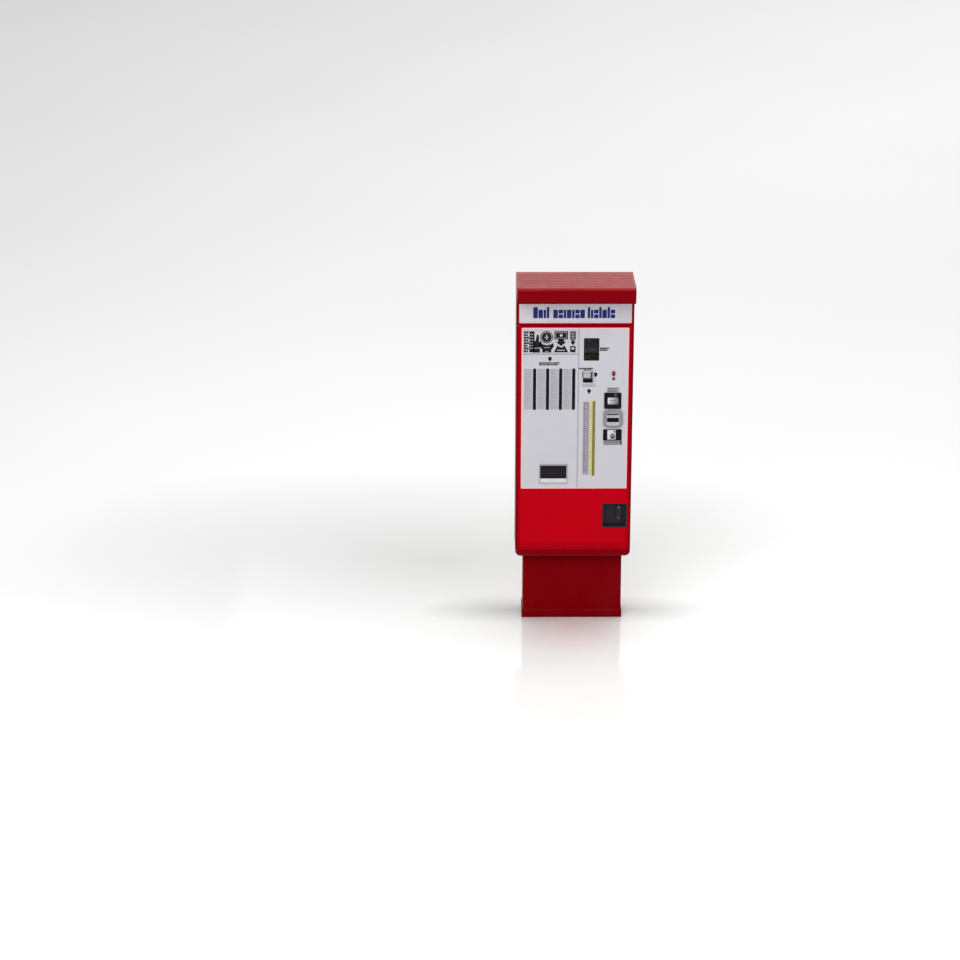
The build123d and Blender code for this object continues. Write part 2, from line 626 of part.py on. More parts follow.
def card_reader():
    """Bezel, neck through the door, and the reader behind it."""
    bezel = slab(CARD[0], (Y_FASCIA - 7, Y_FASCIA), CARD[1], 5)
    bezel = fillet(bezel.faces().sort_by(Axis.Y)[0].edges(), 2)
    x, z = neck(CARD, 5.3)
    bezel += slab(x, (Y_FASCIA, Y_SKIN), z, 1.5)
    bezel += block(CARD[0], (Y_SKIN, Y_SKIN + 58), grow(CARD[1], 4))
    middle = sum(CARD[0]) / 2
    xs, zs = around(middle, CARD_SLOT_Z, CARD_SLOT[0] / 2, CARD_SLOT[1] / 2)
    slot = block(xs, (Y_FASCIA - 7, Y_FASCIA - 1), zs)
    narrow = block(grow(xs, -2.5), (Y_FASCIA - 1, Y_SKIN + 30), zs)
    mouth = slab(CARD_MOUTH[0], (Y_FASCIA - 7, Y_FASCIA - 2), CARD_MOUTH[1], 5)
    return bezel - slot - narrow - mouth


COIN_SLOT = 34.0, 3.6
COIN_SLOT_Z = 1230.0


def coin_entry():
    """Plate with a raised slot guide."""
    plate = slab(COIN[0], (Y_FASCIA - 3, Y_FASCIA), COIN[1], 5)
    middle = sum(COIN[0]) / 2
    xs, zs = around(middle + 2, COIN_SLOT_Z - 3, 28, 19)
    guide = slab(xs, (Y_FASCIA - 9, Y_FASCIA - 3), zs, 6)
    plate += fillet(guide.faces().sort_by(Axis.Y)[0].edges(), 2.5)
    x, z = neck(COIN, 5.3)
    plate += slab(x, (Y_FASCIA, Y_SKIN), z, 1.5)
    xs, zs = around(middle, COIN_SLOT_Z, COIN_SLOT[0] / 2, COIN_SLOT[1] / 2)
    return plate - slab(xs, (Y_FASCIA - 9, Y_SKIN), zs, 1.5)


def coin_validator():
    """Validator behind the coin slot, with a coin runway in its top and a reject cover on its side."""
    x, z = (COIN[0][0] - 1, COIN[0][1] + 3), (COIN[1][0] + 5, COIN[1][1] + 60)
    y = Y_SKIN, Y_SKIN + 74
    body = block(x, y, z)
    body = chamfer(body.edges().filter_by(Axis.Z).group_by(Axis.Y)[-1], 8)
    slot_x, slot_z = around(sum(COIN[0]) / 2, COIN_SLOT_Z, COIN_SLOT[0] / 2, COIN_SLOT[1] / 2)
    return body - block(slot_x, (y[0], y[0] + 40), slot_z)


NOTE_SLOT = 76.0, 3.6
NOTE_SLOT_Z = 1125.0


def note_bezel():
    """Rounded bezel with a flared mouth."""
    bezel = slab(NOTE[0], (Y_FASCIA - 11, Y_FASCIA), NOTE[1], 27)
    bezel = fillet(bezel.faces().sort_by(Axis.Y)[0].edges(), 5)
    x, z = neck(NOTE, 5.3)
    bezel += slab(x, (Y_FASCIA, Y_SKIN), z, 1.5)
    middle = sum(NOTE[0]) / 2
    recess_x, recess_z = around(middle, sum(NOTE[1]) / 2, 34, 36)
    bezel -= slab(recess_x, (Y_FASCIA - 11, Y_FASCIA - 7), recess_z, 12)
    xs, zs = around(middle, NOTE_SLOT_Z, NOTE_SLOT[0] / 2, NOTE_SLOT[1] / 2)
    mouth_x, mouth_z = around(middle, NOTE_SLOT_Z, 31, 12)
    bezel -= slab(mouth_x, (Y_FASCIA - 7, Y_FASCIA - 2), mouth_z, 4)
    return bezel - slab(grow(xs, -4), (Y_FASCIA - 2, Y_SKIN), zs, 1.5)


def note_acceptor():
    """Reader behind the bezel, with its note box hanging at the back."""
    x, z = (NOTE[0][0], NOTE[0][1] - 7), (NOTE[1][0] - 3, NOTE[1][1] + 3)
    body = block(x, (Y_SKIN, Y_SKIN + 70), z)
    xs, zs = around(sum(NOTE[0]) / 2, NOTE_SLOT_Z, NOTE_SLOT[0] / 2 - 4, NOTE_SLOT[1] / 2)
    body -= block(xs, (Y_SKIN, Y_SKIN + 50), zs)
    box = block(grow(x, -4), (Y_SKIN + 70, Y_SKIN + 112), (z[0] + 4, z[1] - 4))
    return body + fillet(box.edges().filter_by(Axis.X).group_by(Axis.Y)[-1], 6)


RETURN_PLATE = (149.0, 245.0), (1011.0, 1072.0)
LAMP_Z = 1346.5
SWITCH_ROOM = 9.0  # from the back of the door's sheet to a switch bracket


def return_surround():
    """Raised plate round the coin return key."""
    plate = slab(RETURN_PLATE[0], (Y_FASCIA - 2, Y_FASCIA), RETURN_PLATE[1], 5)
    plate = fillet(plate.faces().sort_by(Axis.Y)[0].edges(), 0.8)
    key_hole = grow(RETURN_KEY[0], KEY_FREE), grow(RETURN_KEY[1], KEY_FREE)
    return plate - slab(key_hole[0], (Y_FASCIA - 2, Y_FASCIA), key_hole[1], 4)


def status_lamp():
    """Domed lens in a flat ring."""
    x = sum(CANCEL[0]) / 2
    ring = rod_y(x, LAMP_Z, 8.5, (Y_FASCIA - 2, Y_FASCIA))
    lens = rod_y(x, LAMP_Z, 6, (Y_FASCIA - 5, Y_FASCIA - 2))
    return ring + fillet(lens.faces().sort_by(Axis.Y)[0].edges(), 2.5)


def key_modules():
    """Circuit boards behind the key strips, and a bracket with a switch behind each of the two keys."""
    left = key_column_x(0) + LIST_OFFSET - LIST_WIDTH / 2
    modules = [block((left, 13), (Y_SKIN, Y_SKIN + 8), grow(KEY_Z, 10))]
    modules.append(block(grow(TYPE_KEYS[0], 4), (Y_SKIN, Y_SKIN + 6), TYPE_KEYS[1]))
    y = Y_SKIN, Y_SKIN + SWITCH_ROOM + 2
    for (xs, zs), reach in ((RETURN_KEY, 7.0), (CANCEL, 12.0)):
        x, z = sum(xs) / 2, sum(zs) / 2
        xs, zs = around(x, z, (xs[1] - xs[0]) / 2 + reach, 14)
        bracket = block(xs, y, zs) - block(grow(xs, -2), (y[0], y[1] - 2), zs)
        modules.append(bracket + block((x - 8, x + 8), (y[1], y[1] + 14), (z - 9, z + 9)))
    return Compound(modules)


def coin_return_button():
    """Square key with a flange behind the door's sheet."""
    key = slab(RETURN_KEY[0], (Y_FASCIA - 5, Y_SKIN), RETURN_KEY[1], 4)
    key = fillet(key.faces().sort_by(Axis.Y)[0].edges(), 2)
    return key + slab(grow(RETURN_KEY[0], 2.5), (Y_SKIN, Y_SKIN + 2), grow(RETURN_KEY[1], 2.5), 5)


def cancel_button():
    """Oblong key with a flange behind the door's sheet."""
    key = slab(CANCEL[0], (Y_FASCIA - 6, Y_SKIN), CANCEL[1], 7.6)
    key = fillet(key.faces().sort_by(Axis.Y)[0].edges(), 2.5)
    return key + slab(grow(CANCEL[0], 3), (Y_SKIN, Y_SKIN + 2), grow(CANCEL[1], 3), 8)


# Tray for tickets and change
TRAY_WALL = 2.0
TRAY_DEPTH = 78.0
LIP_TOP = 801.0
FLAP_BOTTOM = 803.0
FLAP_THICK = 2.5
FLAP_AXIS_Y = Y_FACE + 3.25
FLAP_AXIS_Z = 870.0
FLAP_BARREL = 3.2
FLAP_PIN = 1.5


def tray_cup():
    """Bezel, side walls, floor, back and a front lip; the top is open behind the flap."""
    (x0, x1), (z0, z1) = TRAY
    back = Y_FACE + TRAY_DEPTH
    cup = slab(TRAY[0], (Y_FASCIA - 2, Y_FASCIA), TRAY[1], 5)
    outer_x, outer_z = grow(TRAY[0], -4), grow(TRAY[1], -4)
    cup += block(outer_x, (Y_FASCIA, back), outer_z)
    inner_x = grow(outer_x, -TRAY_WALL)
    inner_z = outer_z[0] + TRAY_WALL, outer_z[1] - TRAY_WALL
    cup -= block(inner_x, (Y_FASCIA - 2, back - TRAY_WALL), inner_z)
    cup -= block(inner_x, (Y_DOOR + 8, back - TRAY_WALL), inner_z[:1] + (z1,))
    cup += block(inner_x, (Y_FASCIA, Y_FASCIA + 2.5), (inner_z[0], LIP_TOP))
    return cup - rod_x(FLAP_AXIS_Y, FLAP_AXIS_Z, FLAP_PIN + RUNNING, (x0, x1))


def tray_flap():
    """Flap on a barrel across the top of the tray's mouth, with a pin at each end."""
    x = TRAY[0][0] + 4 + TRAY_WALL + 0.5, TRAY[0][1] - 4 - TRAY_WALL - 0.5
    flap = rod_x(FLAP_AXIS_Y, FLAP_AXIS_Z, FLAP_BARREL, x)
    flap += block(x, (FLAP_AXIS_Y - FLAP_THICK / 2, FLAP_AXIS_Y + FLAP_THICK / 2), (FLAP_BOTTOM, FLAP_AXIS_Z))
    return flap + rod_x(FLAP_AXIS_Y, FLAP_AXIS_Z, FLAP_PIN, grow(x, TRAY_WALL))


# Ticket printer
PRINT_X = (-190.0, -40.0)
PRINT_Y, PRINT_Z = (58.0, 150.0), (925.0, 1060.0)
PLATE = 4.0
PLATEN_Y, PLATEN_Z, PLATEN_R = 94.0, 985.0, 12.0
PRINT_MODULE, PLATEN_TEETH, DRIVE_TEETH = 1.0, 48, 16
DRIVE_Y = PLATEN_Y + PRINT_MODULE * (PLATEN_TEETH + DRIVE_TEETH) / 2
GEAR_X = PRINT_X[1] + 2.0, PRINT_X[1] + 8.0
SHAFT_R = 4.0
DRIVE_SHAFT_R = 3.0
MOTOR_R = 15.0


def printer_chassis():
    """Two side plates, a base, the print head bar and the brackets to the back panel."""
    left = block((PRINT_X[0], PRINT_X[0] + PLATE), PRINT_Y, PRINT_Z)
    right = block((PRINT_X[1] - PLATE, PRINT_X[1]), PRINT_Y, PRINT_Z)
    left -= rod_x(PLATEN_Y, PLATEN_Z, SHAFT_R + RUNNING, PRINT_X)
    right -= rod_x(PLATEN_Y, PLATEN_Z, SHAFT_R + RUNNING, PRINT_X)
    right -= rod_x(DRIVE_Y, PLATEN_Z, DRIVE_SHAFT_R + RUNNING, PRINT_X)
    inside = PRINT_X[0] + PLATE, PRINT_X[1] - PLATE
    base = block(inside, PRINT_Y, (PRINT_Z[0], PRINT_Z[0] + PLATE))
    head_z = PLATEN_Z + PLATEN_R + 1
    head = block(inside, (PLATEN_Y - 8, PLATEN_Y + 12), (head_z, head_z + 14))
    brackets = []
    for x in (PRINT_X[0], PRINT_X[1] - PLATE):
        brackets.append(block((x, x + PLATE), (PRINT_Y[1], INSIDE_BACK), (PRINT_Z[0] + 20, PRINT_Z[0] + 60)))
    return Compound([left, right, base, head, *brackets])


def gear_on_x(module, teeth, y, z, turn):
    """A gear that turns about X; turn, in degrees, sets where its teeth stand."""
    gear = extrude(gear_face(module, teeth), GEAR_X[1] - GEAR_X[0])
    return Pos(GEAR_X[0], y, z) * Rot(0, 90, 0) * Rot(0, 0, 90 + turn) * gear


def platen_roller():
    """Rubber roller on a shaft, with the driven gear outside the right plate."""
    roller = rod_x(PLATEN_Y, PLATEN_Z, PLATEN_R, (PRINT_X[0] + PLATE + 2, PRINT_X[1] - PLATE - 2))
    roller += rod_x(PLATEN_Y, PLATEN_Z, SHAFT_R, (PRINT_X[0] - 4, GEAR_X[1] + 3))
    return roller + gear_on_x(PRINT_MODULE, PLATEN_TEETH, PLATEN_Y, PLATEN_Z, 0)


def drive_gear():
    """Motor pinion and its shaft, with a tooth space facing the driven gear."""
    shaft = rod_x(DRIVE_Y, PLATEN_Z, DRIVE_SHAFT_R, (PRINT_X[1] - PLATE, GEAR_X[1] + 3))
    return shaft + gear_on_x(PRINT_MODULE, DRIVE_TEETH, DRIVE_Y, PLATEN_Z, 180 / DRIVE_TEETH)


def printer_motor():
    x = PRINT_X[1] - PLATE - 38, PRINT_X[1] - PLATE
    motor = rod_x(DRIVE_Y, PLATEN_Z, MOTOR_R, x)
    return motor + block((x[0], x[0] + 6), (DRIVE_Y - 8, DRIVE_Y + 8), (PLATEN_Z + 10, PLATEN_Z + 20))


ROLL_Y, ROLL_Z, ROLL_R = 112.0, 1150.0, 60.0
ROLL_X = (-165.0, -65.0)
CORE_R = 20.0


def roll_spindle():
    """Arm from the back panel, with the spindle and its end cap."""
    arm = block((ROLL_X[0] - 8, ROLL_X[0] - 4), (ROLL_Y - 24, INSIDE_BACK), (ROLL_Z - 24, ROLL_Z + 24))
    arm += rod_x(ROLL_Y, ROLL_Z, CORE_R - 0.4, (ROLL_X[0] - 4, ROLL_X[1] + 4))
    return arm + rod_x(ROLL_Y, ROLL_Z, CORE_R + 8, (ROLL_X[1] + 2, ROLL_X[1] + 6))


def ticket_roll():
    return rod_x(ROLL_Y, ROLL_Z, ROLL_R, ROLL_X) - rod_x(ROLL_Y, ROLL_Z, CORE_R, ROLL_X)


# Coin hoppers
HOPPER_X = {"left": 87.5, "right": 197.5}
HOPPER_HALF = 47.5
HOPPER_Y, HOPPER_Z = (62.0, 172.0), (925.0, 1065.0)
BOWL_R = 42.0
BOWL_FLOOR = 975.0
DISC_R, DISC_THICK = 40.0, 5.0
COIN_POCKETS = 5


def hopper_housing(x):
    """Block with a round bowl in its top and feet to the back panel."""
    middle = sum(HOPPER_Y) / 2
    body = block((x - HOPPER_HALF, x + HOPPER_HALF), HOPPER_Y, HOPPER_Z)
    body = fillet(body.edges().filter_by(Axis.Z), 6)
    body += block((x - 20, x + 20), (HOPPER_Y[1], INSIDE_BACK), (HOPPER_Z[0] + 10, HOPPER_Z[0] + 40))
    body -= rod_z(x, middle, BOWL_R, (BOWL_FLOOR, HOPPER_Z[1]))
    return body - rod_z(x, middle, 5 + RUNNING, (BOWL_FLOOR - 12, BOWL_FLOOR))


def hopper_disc(x):
    """Disc with round coin pockets, on a short shaft."""
    middle = sum(HOPPER_Y) / 2
    disc = rod_z(x, middle, DISC_R, (BOWL_FLOOR + 1, BOWL_FLOOR + 1 + DISC_THICK))
    for i in range(COIN_POCKETS):
        a = 2 * pi * i / COIN_POCKETS
        disc -= rod_z(x + 25 * cos(a), middle + 25 * sin(a), 12, (BOWL_FLOOR, BOWL_FLOOR + 8))
    return disc + rod_z(x, middle, 5, (BOWL_FLOOR - 11, BOWL_FLOOR + 10))


def delivery_slides():
    """Sloping plates that bring tickets and coins to the tray."""
    top = TRAY[1][1] + 5
    ticket = along_x([(24, top), (86, top + 34), (86, top + 36), (24, top + 2)], (-165, -60))
    coin = along_y([(-45, top), (243, top + 35), (243, top + 37), (-45, top + 2)], (14, 58))
    return Compound([ticket, coin])


# Lower part of the cabinet
CASH_X, CASH_Y, CASH_Z = (68.0, 262.0), (84.0, 172.0), (PLINTH_HEIGHT + SHEET, 600.0)
BAIL_X = 110.0, 220.0
BAIL_Y, BAIL_Z = 74.0, 570.0
BAIL_R = 4.0
BAIL_DROP = 58.0


def cash_box():
    """Locked box with a raised lid and two lugs for its handle."""
    box = block(CASH_X, CASH_Y, (CASH_Z[0], CASH_Z[1] - 14))
    box += block(grow(CASH_X, 3), grow(CASH_Y, 3), (CASH_Z[1] - 14, CASH_Z[1]))
    box += rod_y(sum(CASH_X) / 2, CASH_Z[1] - 60, 11, (CASH_Y[0] - 4, CASH_Y[0]))
    for x in BAIL_X:
        outer = (x - 14, x - 6) if x == BAIL_X[0] else (x + 6, x + 14)
        lug = block(outer, (BAIL_Y - 8, CASH_Y[0]), (BAIL_Z - 8, BAIL_Z + 8))
        box += lug - rod_x(BAIL_Y, BAIL_Z, BAIL_R + RUNNING, outer)
    return box


def cash_box_handle():
    """Carrying bail that hangs from two lugs."""
    low = BAIL_Z - BAIL_DROP
    path = FilletPolyline(
        (BAIL_X[0] - 15, BAIL_Y, BAIL_Z),
        (BAIL_X[0], BAIL_Y, BAIL_Z),
        (BAIL_X[0], BAIL_Y, low),
        (BAIL_X[1], BAIL_Y, low),
        (BAIL_X[1], BAIL_Y, BAIL_Z),
        (BAIL_X[1] + 15, BAIL_Y, BAIL_Z),
        radius=BAIL_R + 1,
    )
    return sweep(Plane(origin=path @ 0, z_dir=path % 0) * Circle(BAIL_R), path)


def power_supply():
    """Supply unit with cooling slots in its front and a terminal block on top."""
    x, y, z = (-262.0, -70.0), (95.0, INSIDE_BACK), (PLINTH_HEIGHT + SHEET, 560.0)
    unit = block(x, y, z)
    for i in range(9):
        unit -= block((x[0] + 20 + 18 * i, x[0] + 26 + 18 * i), (y[0], y[0] + 4), (z[0] + 40, z[1] - 60))
    return unit + block((x[0] + 20, x[1] - 60), (y[0] + 10, y[0] + 30), (z[1], z[1] + 14))


def controller_box():
    """Finned case with a row of plugs along its lower side."""
    x, y, z = (-258.0, -18.0), (112.0, INSIDE_BACK), (1400.0, 1600.0)
    case = block(x, y, z)
    for i in range(14):
        case -= block((x[0] + 12 + 16 * i, x[0] + 20 + 16 * i), (y[0], y[0] + 8), (z[0] + 30, z[1] - 15))
    for i in range(5):
        case += block((x[0] + 20 + 42 * i, x[0] + 46 + 42 * i), (y[0] + 14, y[0] + 32), (z[0] - 10, z[0]))
    return case


FAN_HALF, FAN_BORE = 60.0, 56.0
FAN_Y = INSIDE_BACK - 26.0, INSIDE_BACK
FAN_HUB = 20.0
FAN_BLADES = 7


def fan_frame():
    """Square frame with a round throat, and a hub held on three struts."""
    frame = slab((FAN_X - FAN_HALF, FAN_X + FAN_HALF), FAN_Y, (FAN_Z - FAN_HALF, FAN_Z + FAN_HALF), 6)
    frame -= rod_y(FAN_X, FAN_Z, FAN_BORE, FAN_Y)
    back = FAN_Y[1] - 4, FAN_Y[1]
    frame += rod_y(FAN_X, FAN_Z, FAN_HUB, back)
    for i in range(3):
        strut = block((0, FAN_BORE + 2), back, (-3, 3))
        frame += Pos(FAN_X, 0, FAN_Z) * Rot(0, 120 * i + 30, 0) * strut
    return frame


def fan_rotor():
    """Hub with pitched blades."""
    front, back = FAN_Y[0] + 3, FAN_Y[1] - 5
    rotor = rod_y(FAN_X, FAN_Z, FAN_HUB, (front, back))
    depth = back - front - 2
    for i in range(FAN_BLADES):
        blade = Pos(36, 0, 0) * Rot(35, 0, 0) * Box(34, depth * 1.05, 2)
        rotor += Pos(FAN_X, (front + back) / 2, FAN_Z) * Rot(0, 360 * i / FAN_BLADES, 0) * blade
    return rotor


def build_parts():
    """Every sub-part under its node name."""
    parts = {
        "base_plate": base_plate(),
        "plinth_shell": plinth_shell(),
        "plinth_front_cover": plinth_front_cover(),
        "side_panel_left": side_panel(-1),
        "side_panel_right": side_panel(1),
        "back_panel": back_panel(),
        "back_panel_screws": back_panel_screws(),
        "floor_and_roof": floor_and_roof(),
        "hood_cover": hood_cover(),
        "header_frame": header_frame(),
        "sign_panel": sign_panel(),
        "sign_lamp": sign_lamp(),
        "bottom_sill": bottom_sill(),
        "door_stop_rails": door_stop_rails(),
        "door_seal": door_seal(),
        "hinge_pins": hinge_pins(),
        "printer_chassis": printer_chassis(),
        "platen_roller": platen_roller(),
        "drive_gear": drive_gear(),
        "printer_motor": printer_motor(),
        "roll_spindle": roll_spindle(),
        "ticket_roll": ticket_roll(),
        "delivery_slides": delivery_slides(),
        "cash_box": cash_box(),
        "cash_box_handle": cash_box_handle(),
        "power_supply": power_supply(),
        "controller_box": controller_box(),
        "fan_frame": fan_frame(),
        "fan_rotor": fan_rotor(),
        "door_skin": door_skin(),
        "selection_fascia": fascia((FASCIA_LEFT, FASCIA_SPLIT - 1)),
        "payment_fascia": fascia((FASCIA_SPLIT + 1, FASCIA_RIGHT)),
        "printed_inserts": printed_inserts(),
        "destination_key_strips": destination_key_strips(),
        "ticket_type_keys": ticket_type_keys(),
        "key_modules": key_modules(),
        "display_window": display_window(),
        "display_module": display_module(),
        "card_reader": card_reader(),
        "coin_entry": coin_entry(),
        "coin_validator": coin_validator(),
        "note_bezel": note_bezel(),
        "note_acceptor": note_acceptor(),
        "return_surround": return_surround(),
        "status_lamp": status_lamp(),
        "coin_return_button": coin_return_button(),
        "cancel_button": cancel_button(),
        "tray_cup": tray_cup(),
        "tray_flap": tray_flap(),
        "lock_dish": lock_dish(),
        "lock_handle": lock_handle(),
        "lock_cylinder": lock_cylinder(),
        "lock_spindle": lock_spindle(),
        "lock_rod_upper": lock_rod_upper(),
        "lock_rod_lower": lock_rod_lower(),
        "lock_case": lock_case(),
    }
    for side, x in HOPPER_X.items():
        parts[f"hopper_housing_{side}"] = hopper_housing(x)
        parts[f"hopper_disc_{side}"] = hopper_disc(x)
    return parts


def main():
    os.makedirs("parts", exist_ok=True)
    for name, shape in build_parts().items():
        export_step(shape, f"parts/{name}.step")


main()
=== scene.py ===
import json
import math
import random

import bmesh
import bpy
from mathutils import Matrix, Vector


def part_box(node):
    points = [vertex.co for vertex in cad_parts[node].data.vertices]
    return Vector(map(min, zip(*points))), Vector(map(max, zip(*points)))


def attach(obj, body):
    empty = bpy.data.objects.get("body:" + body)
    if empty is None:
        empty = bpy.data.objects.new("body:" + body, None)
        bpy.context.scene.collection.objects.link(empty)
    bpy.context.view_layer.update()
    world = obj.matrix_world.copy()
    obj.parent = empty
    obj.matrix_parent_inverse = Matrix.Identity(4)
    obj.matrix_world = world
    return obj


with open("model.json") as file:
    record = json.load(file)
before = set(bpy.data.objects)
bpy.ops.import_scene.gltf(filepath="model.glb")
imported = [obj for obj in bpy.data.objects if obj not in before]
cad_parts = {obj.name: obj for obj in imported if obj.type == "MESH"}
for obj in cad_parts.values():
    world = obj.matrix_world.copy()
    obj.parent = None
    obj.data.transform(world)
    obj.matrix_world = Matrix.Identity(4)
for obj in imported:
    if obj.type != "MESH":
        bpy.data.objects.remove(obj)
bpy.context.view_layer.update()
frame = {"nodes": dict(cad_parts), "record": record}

# Lengths are in metres; MM turns a size in millimetres into metres.
MM = 0.001
INK = 0.2 * MM  # how far a printed or engraved mark stands proud
SINK = 0.1 * MM  # how far the back of a mark sits inside what it is on
SEED = 7


# Where things are on the machine
class Area:
    """A part's edges and middle as seen from the front, and the y of its front and back."""

    def __init__(self, node):
        low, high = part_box(node)
        self.x0, self.x1, self.z0, self.z1 = self.edges = (low.x, high.x, low.z, high.z)
        self.x, self.z = (low.x + high.x) / 2, (low.z + high.z) / 2
        self.front, self.back = low.y, high.y


def inset(edges, margin):
    """A rectangle's left, right, bottom and top edges, moved in by a margin."""
    x0, x1, z0, z1 = edges
    return x0 + margin, x1 - margin, z0 + margin, z1 - margin


DOOR = Area("door_skin")
LEFT_FASCIA, RIGHT_FASCIA = Area("selection_fascia"), Area("payment_fascia")
SIGN = Area("sign_panel")
KEYS = Area("destination_key_strips")
TYPE_KEYS = Area("ticket_type_keys")
INSERTS = Area("printed_inserts")
WINDOW = Area("display_window")
CARD = Area("card_reader")
COIN = Area("coin_entry")
NOTE = Area("note_bezel")
RETURN = Area("coin_return_button")
TRAY = Area("tray_cup")
FLAP = Area("tray_flap")
DISH = Area("lock_dish")
HANDLE = Area("lock_handle")
BARREL = Area("lock_cylinder")
FASCIA_FRONT = LEFT_FASCIA.front
# Left, right, bottom and top edges of printed plates and of the mouths of the slots
GUIDE_PLATE = (-265 * MM, 4 * MM, 1485 * MM, 1607 * MM)
TYPE_LIST = (45 * MM, 75 * MM, 823 * MM, 1223 * MM)
LABELS = ((166 * MM, 228 * MM, 1273 * MM, 1299 * MM), (150 * MM, 248 * MM, 986 * MM, 1011 * MM))
CARD_MOUTH = (41 * MM, 92 * MM, 1328 * MM, 1350 * MM)
NOTE_MOUTH = (167 * MM, 230 * MM, 1113 * MM, 1137 * MM)
PLATE = 0.15 * MM  # how thick a printed plate is
KEY_COLUMNS, KEY_ROWS = 4, 12
KEY_PITCH = 66.8 * MM
LIST_OFFSET = -33 * MM
LIST_WIDTH = 40 * MM
TYPE_ROWS, TYPE_KEY_ROWS = 40, 20
HALF_WIDTH = 300 * MM  # from the middle of the casing to its side
STEP_MARKS = {"1": (-128.5 * MM, 1456 * MM), "2": (74 * MM, 1281 * MM), "3": (106 * MM, 1371 * MM)}
STEP_MARK_R = 10 * MM


# Materials
def rgb(r, g, b):
    """An sRGB colour of 0 to 255 as a linear RGBA."""
    channels = [c / 255 for c in (r, g, b)]
    return tuple(c / 12.92 if c <= 0.04045 else ((c + 0.055) / 1.055) ** 2.4 for c in channels) + (1.0,)


def scaled(colour, share, lift=0.0):
    """A colour's channels times share, plus lift."""
    return tuple(c * share + lift for c in colour[:3]) + (1.0,)


class Finish:
    """A Principled material, patterned by where a point lies on the part."""

    def __init__(self, name, specular=0.5, **sockets):
        self.material = bpy.data.materials.new(name)
        self.material.use_nodes = True
        self.tree = self.material.node_tree
        self.shader = self.tree.nodes["Principled BSDF"]
        self.shader.inputs["Specular IOR Level"].default_value = specular
        for socket, value in sockets.items():
            self.shader.inputs[socket.replace("_", " ")].default_value = value
        self.place = self.add("ShaderNodeTexCoord").outputs["Object"]

    def add(self, kind, **settings):
        node = self.tree.nodes.new(kind)
        for key, value in settings.items():
            setattr(node, key, value)
        return node

    def join(self, source, target):
        if isinstance(source, bpy.types.NodeSocket):
            self.tree.links.new(source, target)
        else:
            target.default_value = source

    def mapped(self, **settings):
        """The place, moved, turned or scaled."""
        mapping = self.add("ShaderNodeMapping")
        for socket, value in settings.items():
            mapping.inputs[socket].default_value = value
        self.join(self.place, mapping.inputs["Vector"])
        return mapping.outputs["Vector"]

    def noise(self, scale, detail=3.0, stretch=None, distortion=0.0):
        node = self.add("ShaderNodeTexNoise")
        node.inputs["Scale"].default_value = scale
        node.inputs["Detail"].default_value = detail
        node.inputs["Distortion"].default_value = distortion
        self.join(self.mapped(Scale=stretch) if stretch else self.place, node.inputs["Vector"])
        return node.outputs["Fac"]

    def cells(self, scale, feature="F1", output="Distance"):
        node = self.add("ShaderNodeTexVoronoi", feature=feature)
        node.inputs["Scale"].default_value = scale
        self.join(self.place, node.inputs["Vector"])
        return node.outputs[output]

    def span(self, value, low, high, to_low=0.0, to_high=1.0):
        """value's stretch from low to high, turned into to_low to to_high."""
        node = self.add("ShaderNodeMapRange")
        for socket, number in zip(("From Min", "From Max", "To Min", "To Max"), (low, high, to_low, to_high)):
            node.inputs[socket].default_value = number
        self.join(value, node.inputs["Value"])
        return node.outputs["Result"]

    def painted_patch(self, middle, reach, strength):
        """strength at a place on the floor, fading to 0 at the rim of an ellipse of these half-widths."""
        node = self.add("ShaderNodeTexGradient", gradient_type="SPHERICAL")
        shift = tuple(-m / r for m, r in zip(middle, reach)) + (0,)
        share = tuple(1 / r for r in reach) + (1,)
        self.join(self.mapped(Location=shift, Scale=share), node.inputs["Vector"])
        return self.span(node.outputs["Fac"], 0.0, 1.0, 0.0, strength)

    def math(self, operation, a, b):
        node = self.add("ShaderNodeMath", operation=operation)
        self.join(a, node.inputs[0])
        self.join(b, node.inputs[1])
        return node.outputs["Value"]

    def times(self, a, b):
        return self.math("MULTIPLY", a, b)

    def mix(self, share, a, b):
        """Colour a where share is 0, b where it is 1."""
        node = self.add("ShaderNodeMix", data_type="RGBA")
        self.join(share, node.inputs["Factor"])
        self.join(a, node.inputs[6])
        self.join(b, node.inputs[7])
        return node.outputs[2]

    def along(self, axis, vector=None):
        """A vector's share along an axis: by default a point's place on the part, in metres."""
        node = self.add("ShaderNodeSeparateXYZ")
        self.join(vector or self.place, node.inputs["Vector"])
        return node.outputs[axis]

    def height(self):
        return self.along("Z")

    def facing_up(self):
        normal = self.add("ShaderNodeNewGeometry").outputs["Normal"]
        return self.span(self.along("Z", normal), 0.35, 0.95)

    def edges(self, radius):
        """1 along sharp edges and 0 on flat stretches."""
        bevel = self.add("ShaderNodeBevel", samples=4)
        bevel.inputs["Radius"].default_value = radius
        dot = self.add("ShaderNodeVectorMath", operation="DOT_PRODUCT")
        self.join(bevel.outputs["Normal"], dot.inputs[0])
        self.join(self.add("ShaderNodeNewGeometry").outputs["Normal"], dot.inputs[1])
        return self.span(dot.outputs["Value"], 0.99, 0.86)

    def bump(self, height, distance, strength):
        node = self.add("ShaderNodeBump")
        node.inputs["Strength"].default_value = strength
        node.inputs["Distance"].default_value = distance
        self.join(height, node.inputs["Height"])
        if self.shader.inputs["Normal"].links:
            self.join(self.shader.inputs["Normal"].links[0].from_socket, node.inputs["Normal"])
        self.join(node.outputs["Normal"], self.shader.inputs["Normal"])

    def colour(self, value):
        self.join(value, self.shader.inputs["Base Color"])

    def roughness(self, value):
        self.join(value, self.shader.inputs["Roughness"])


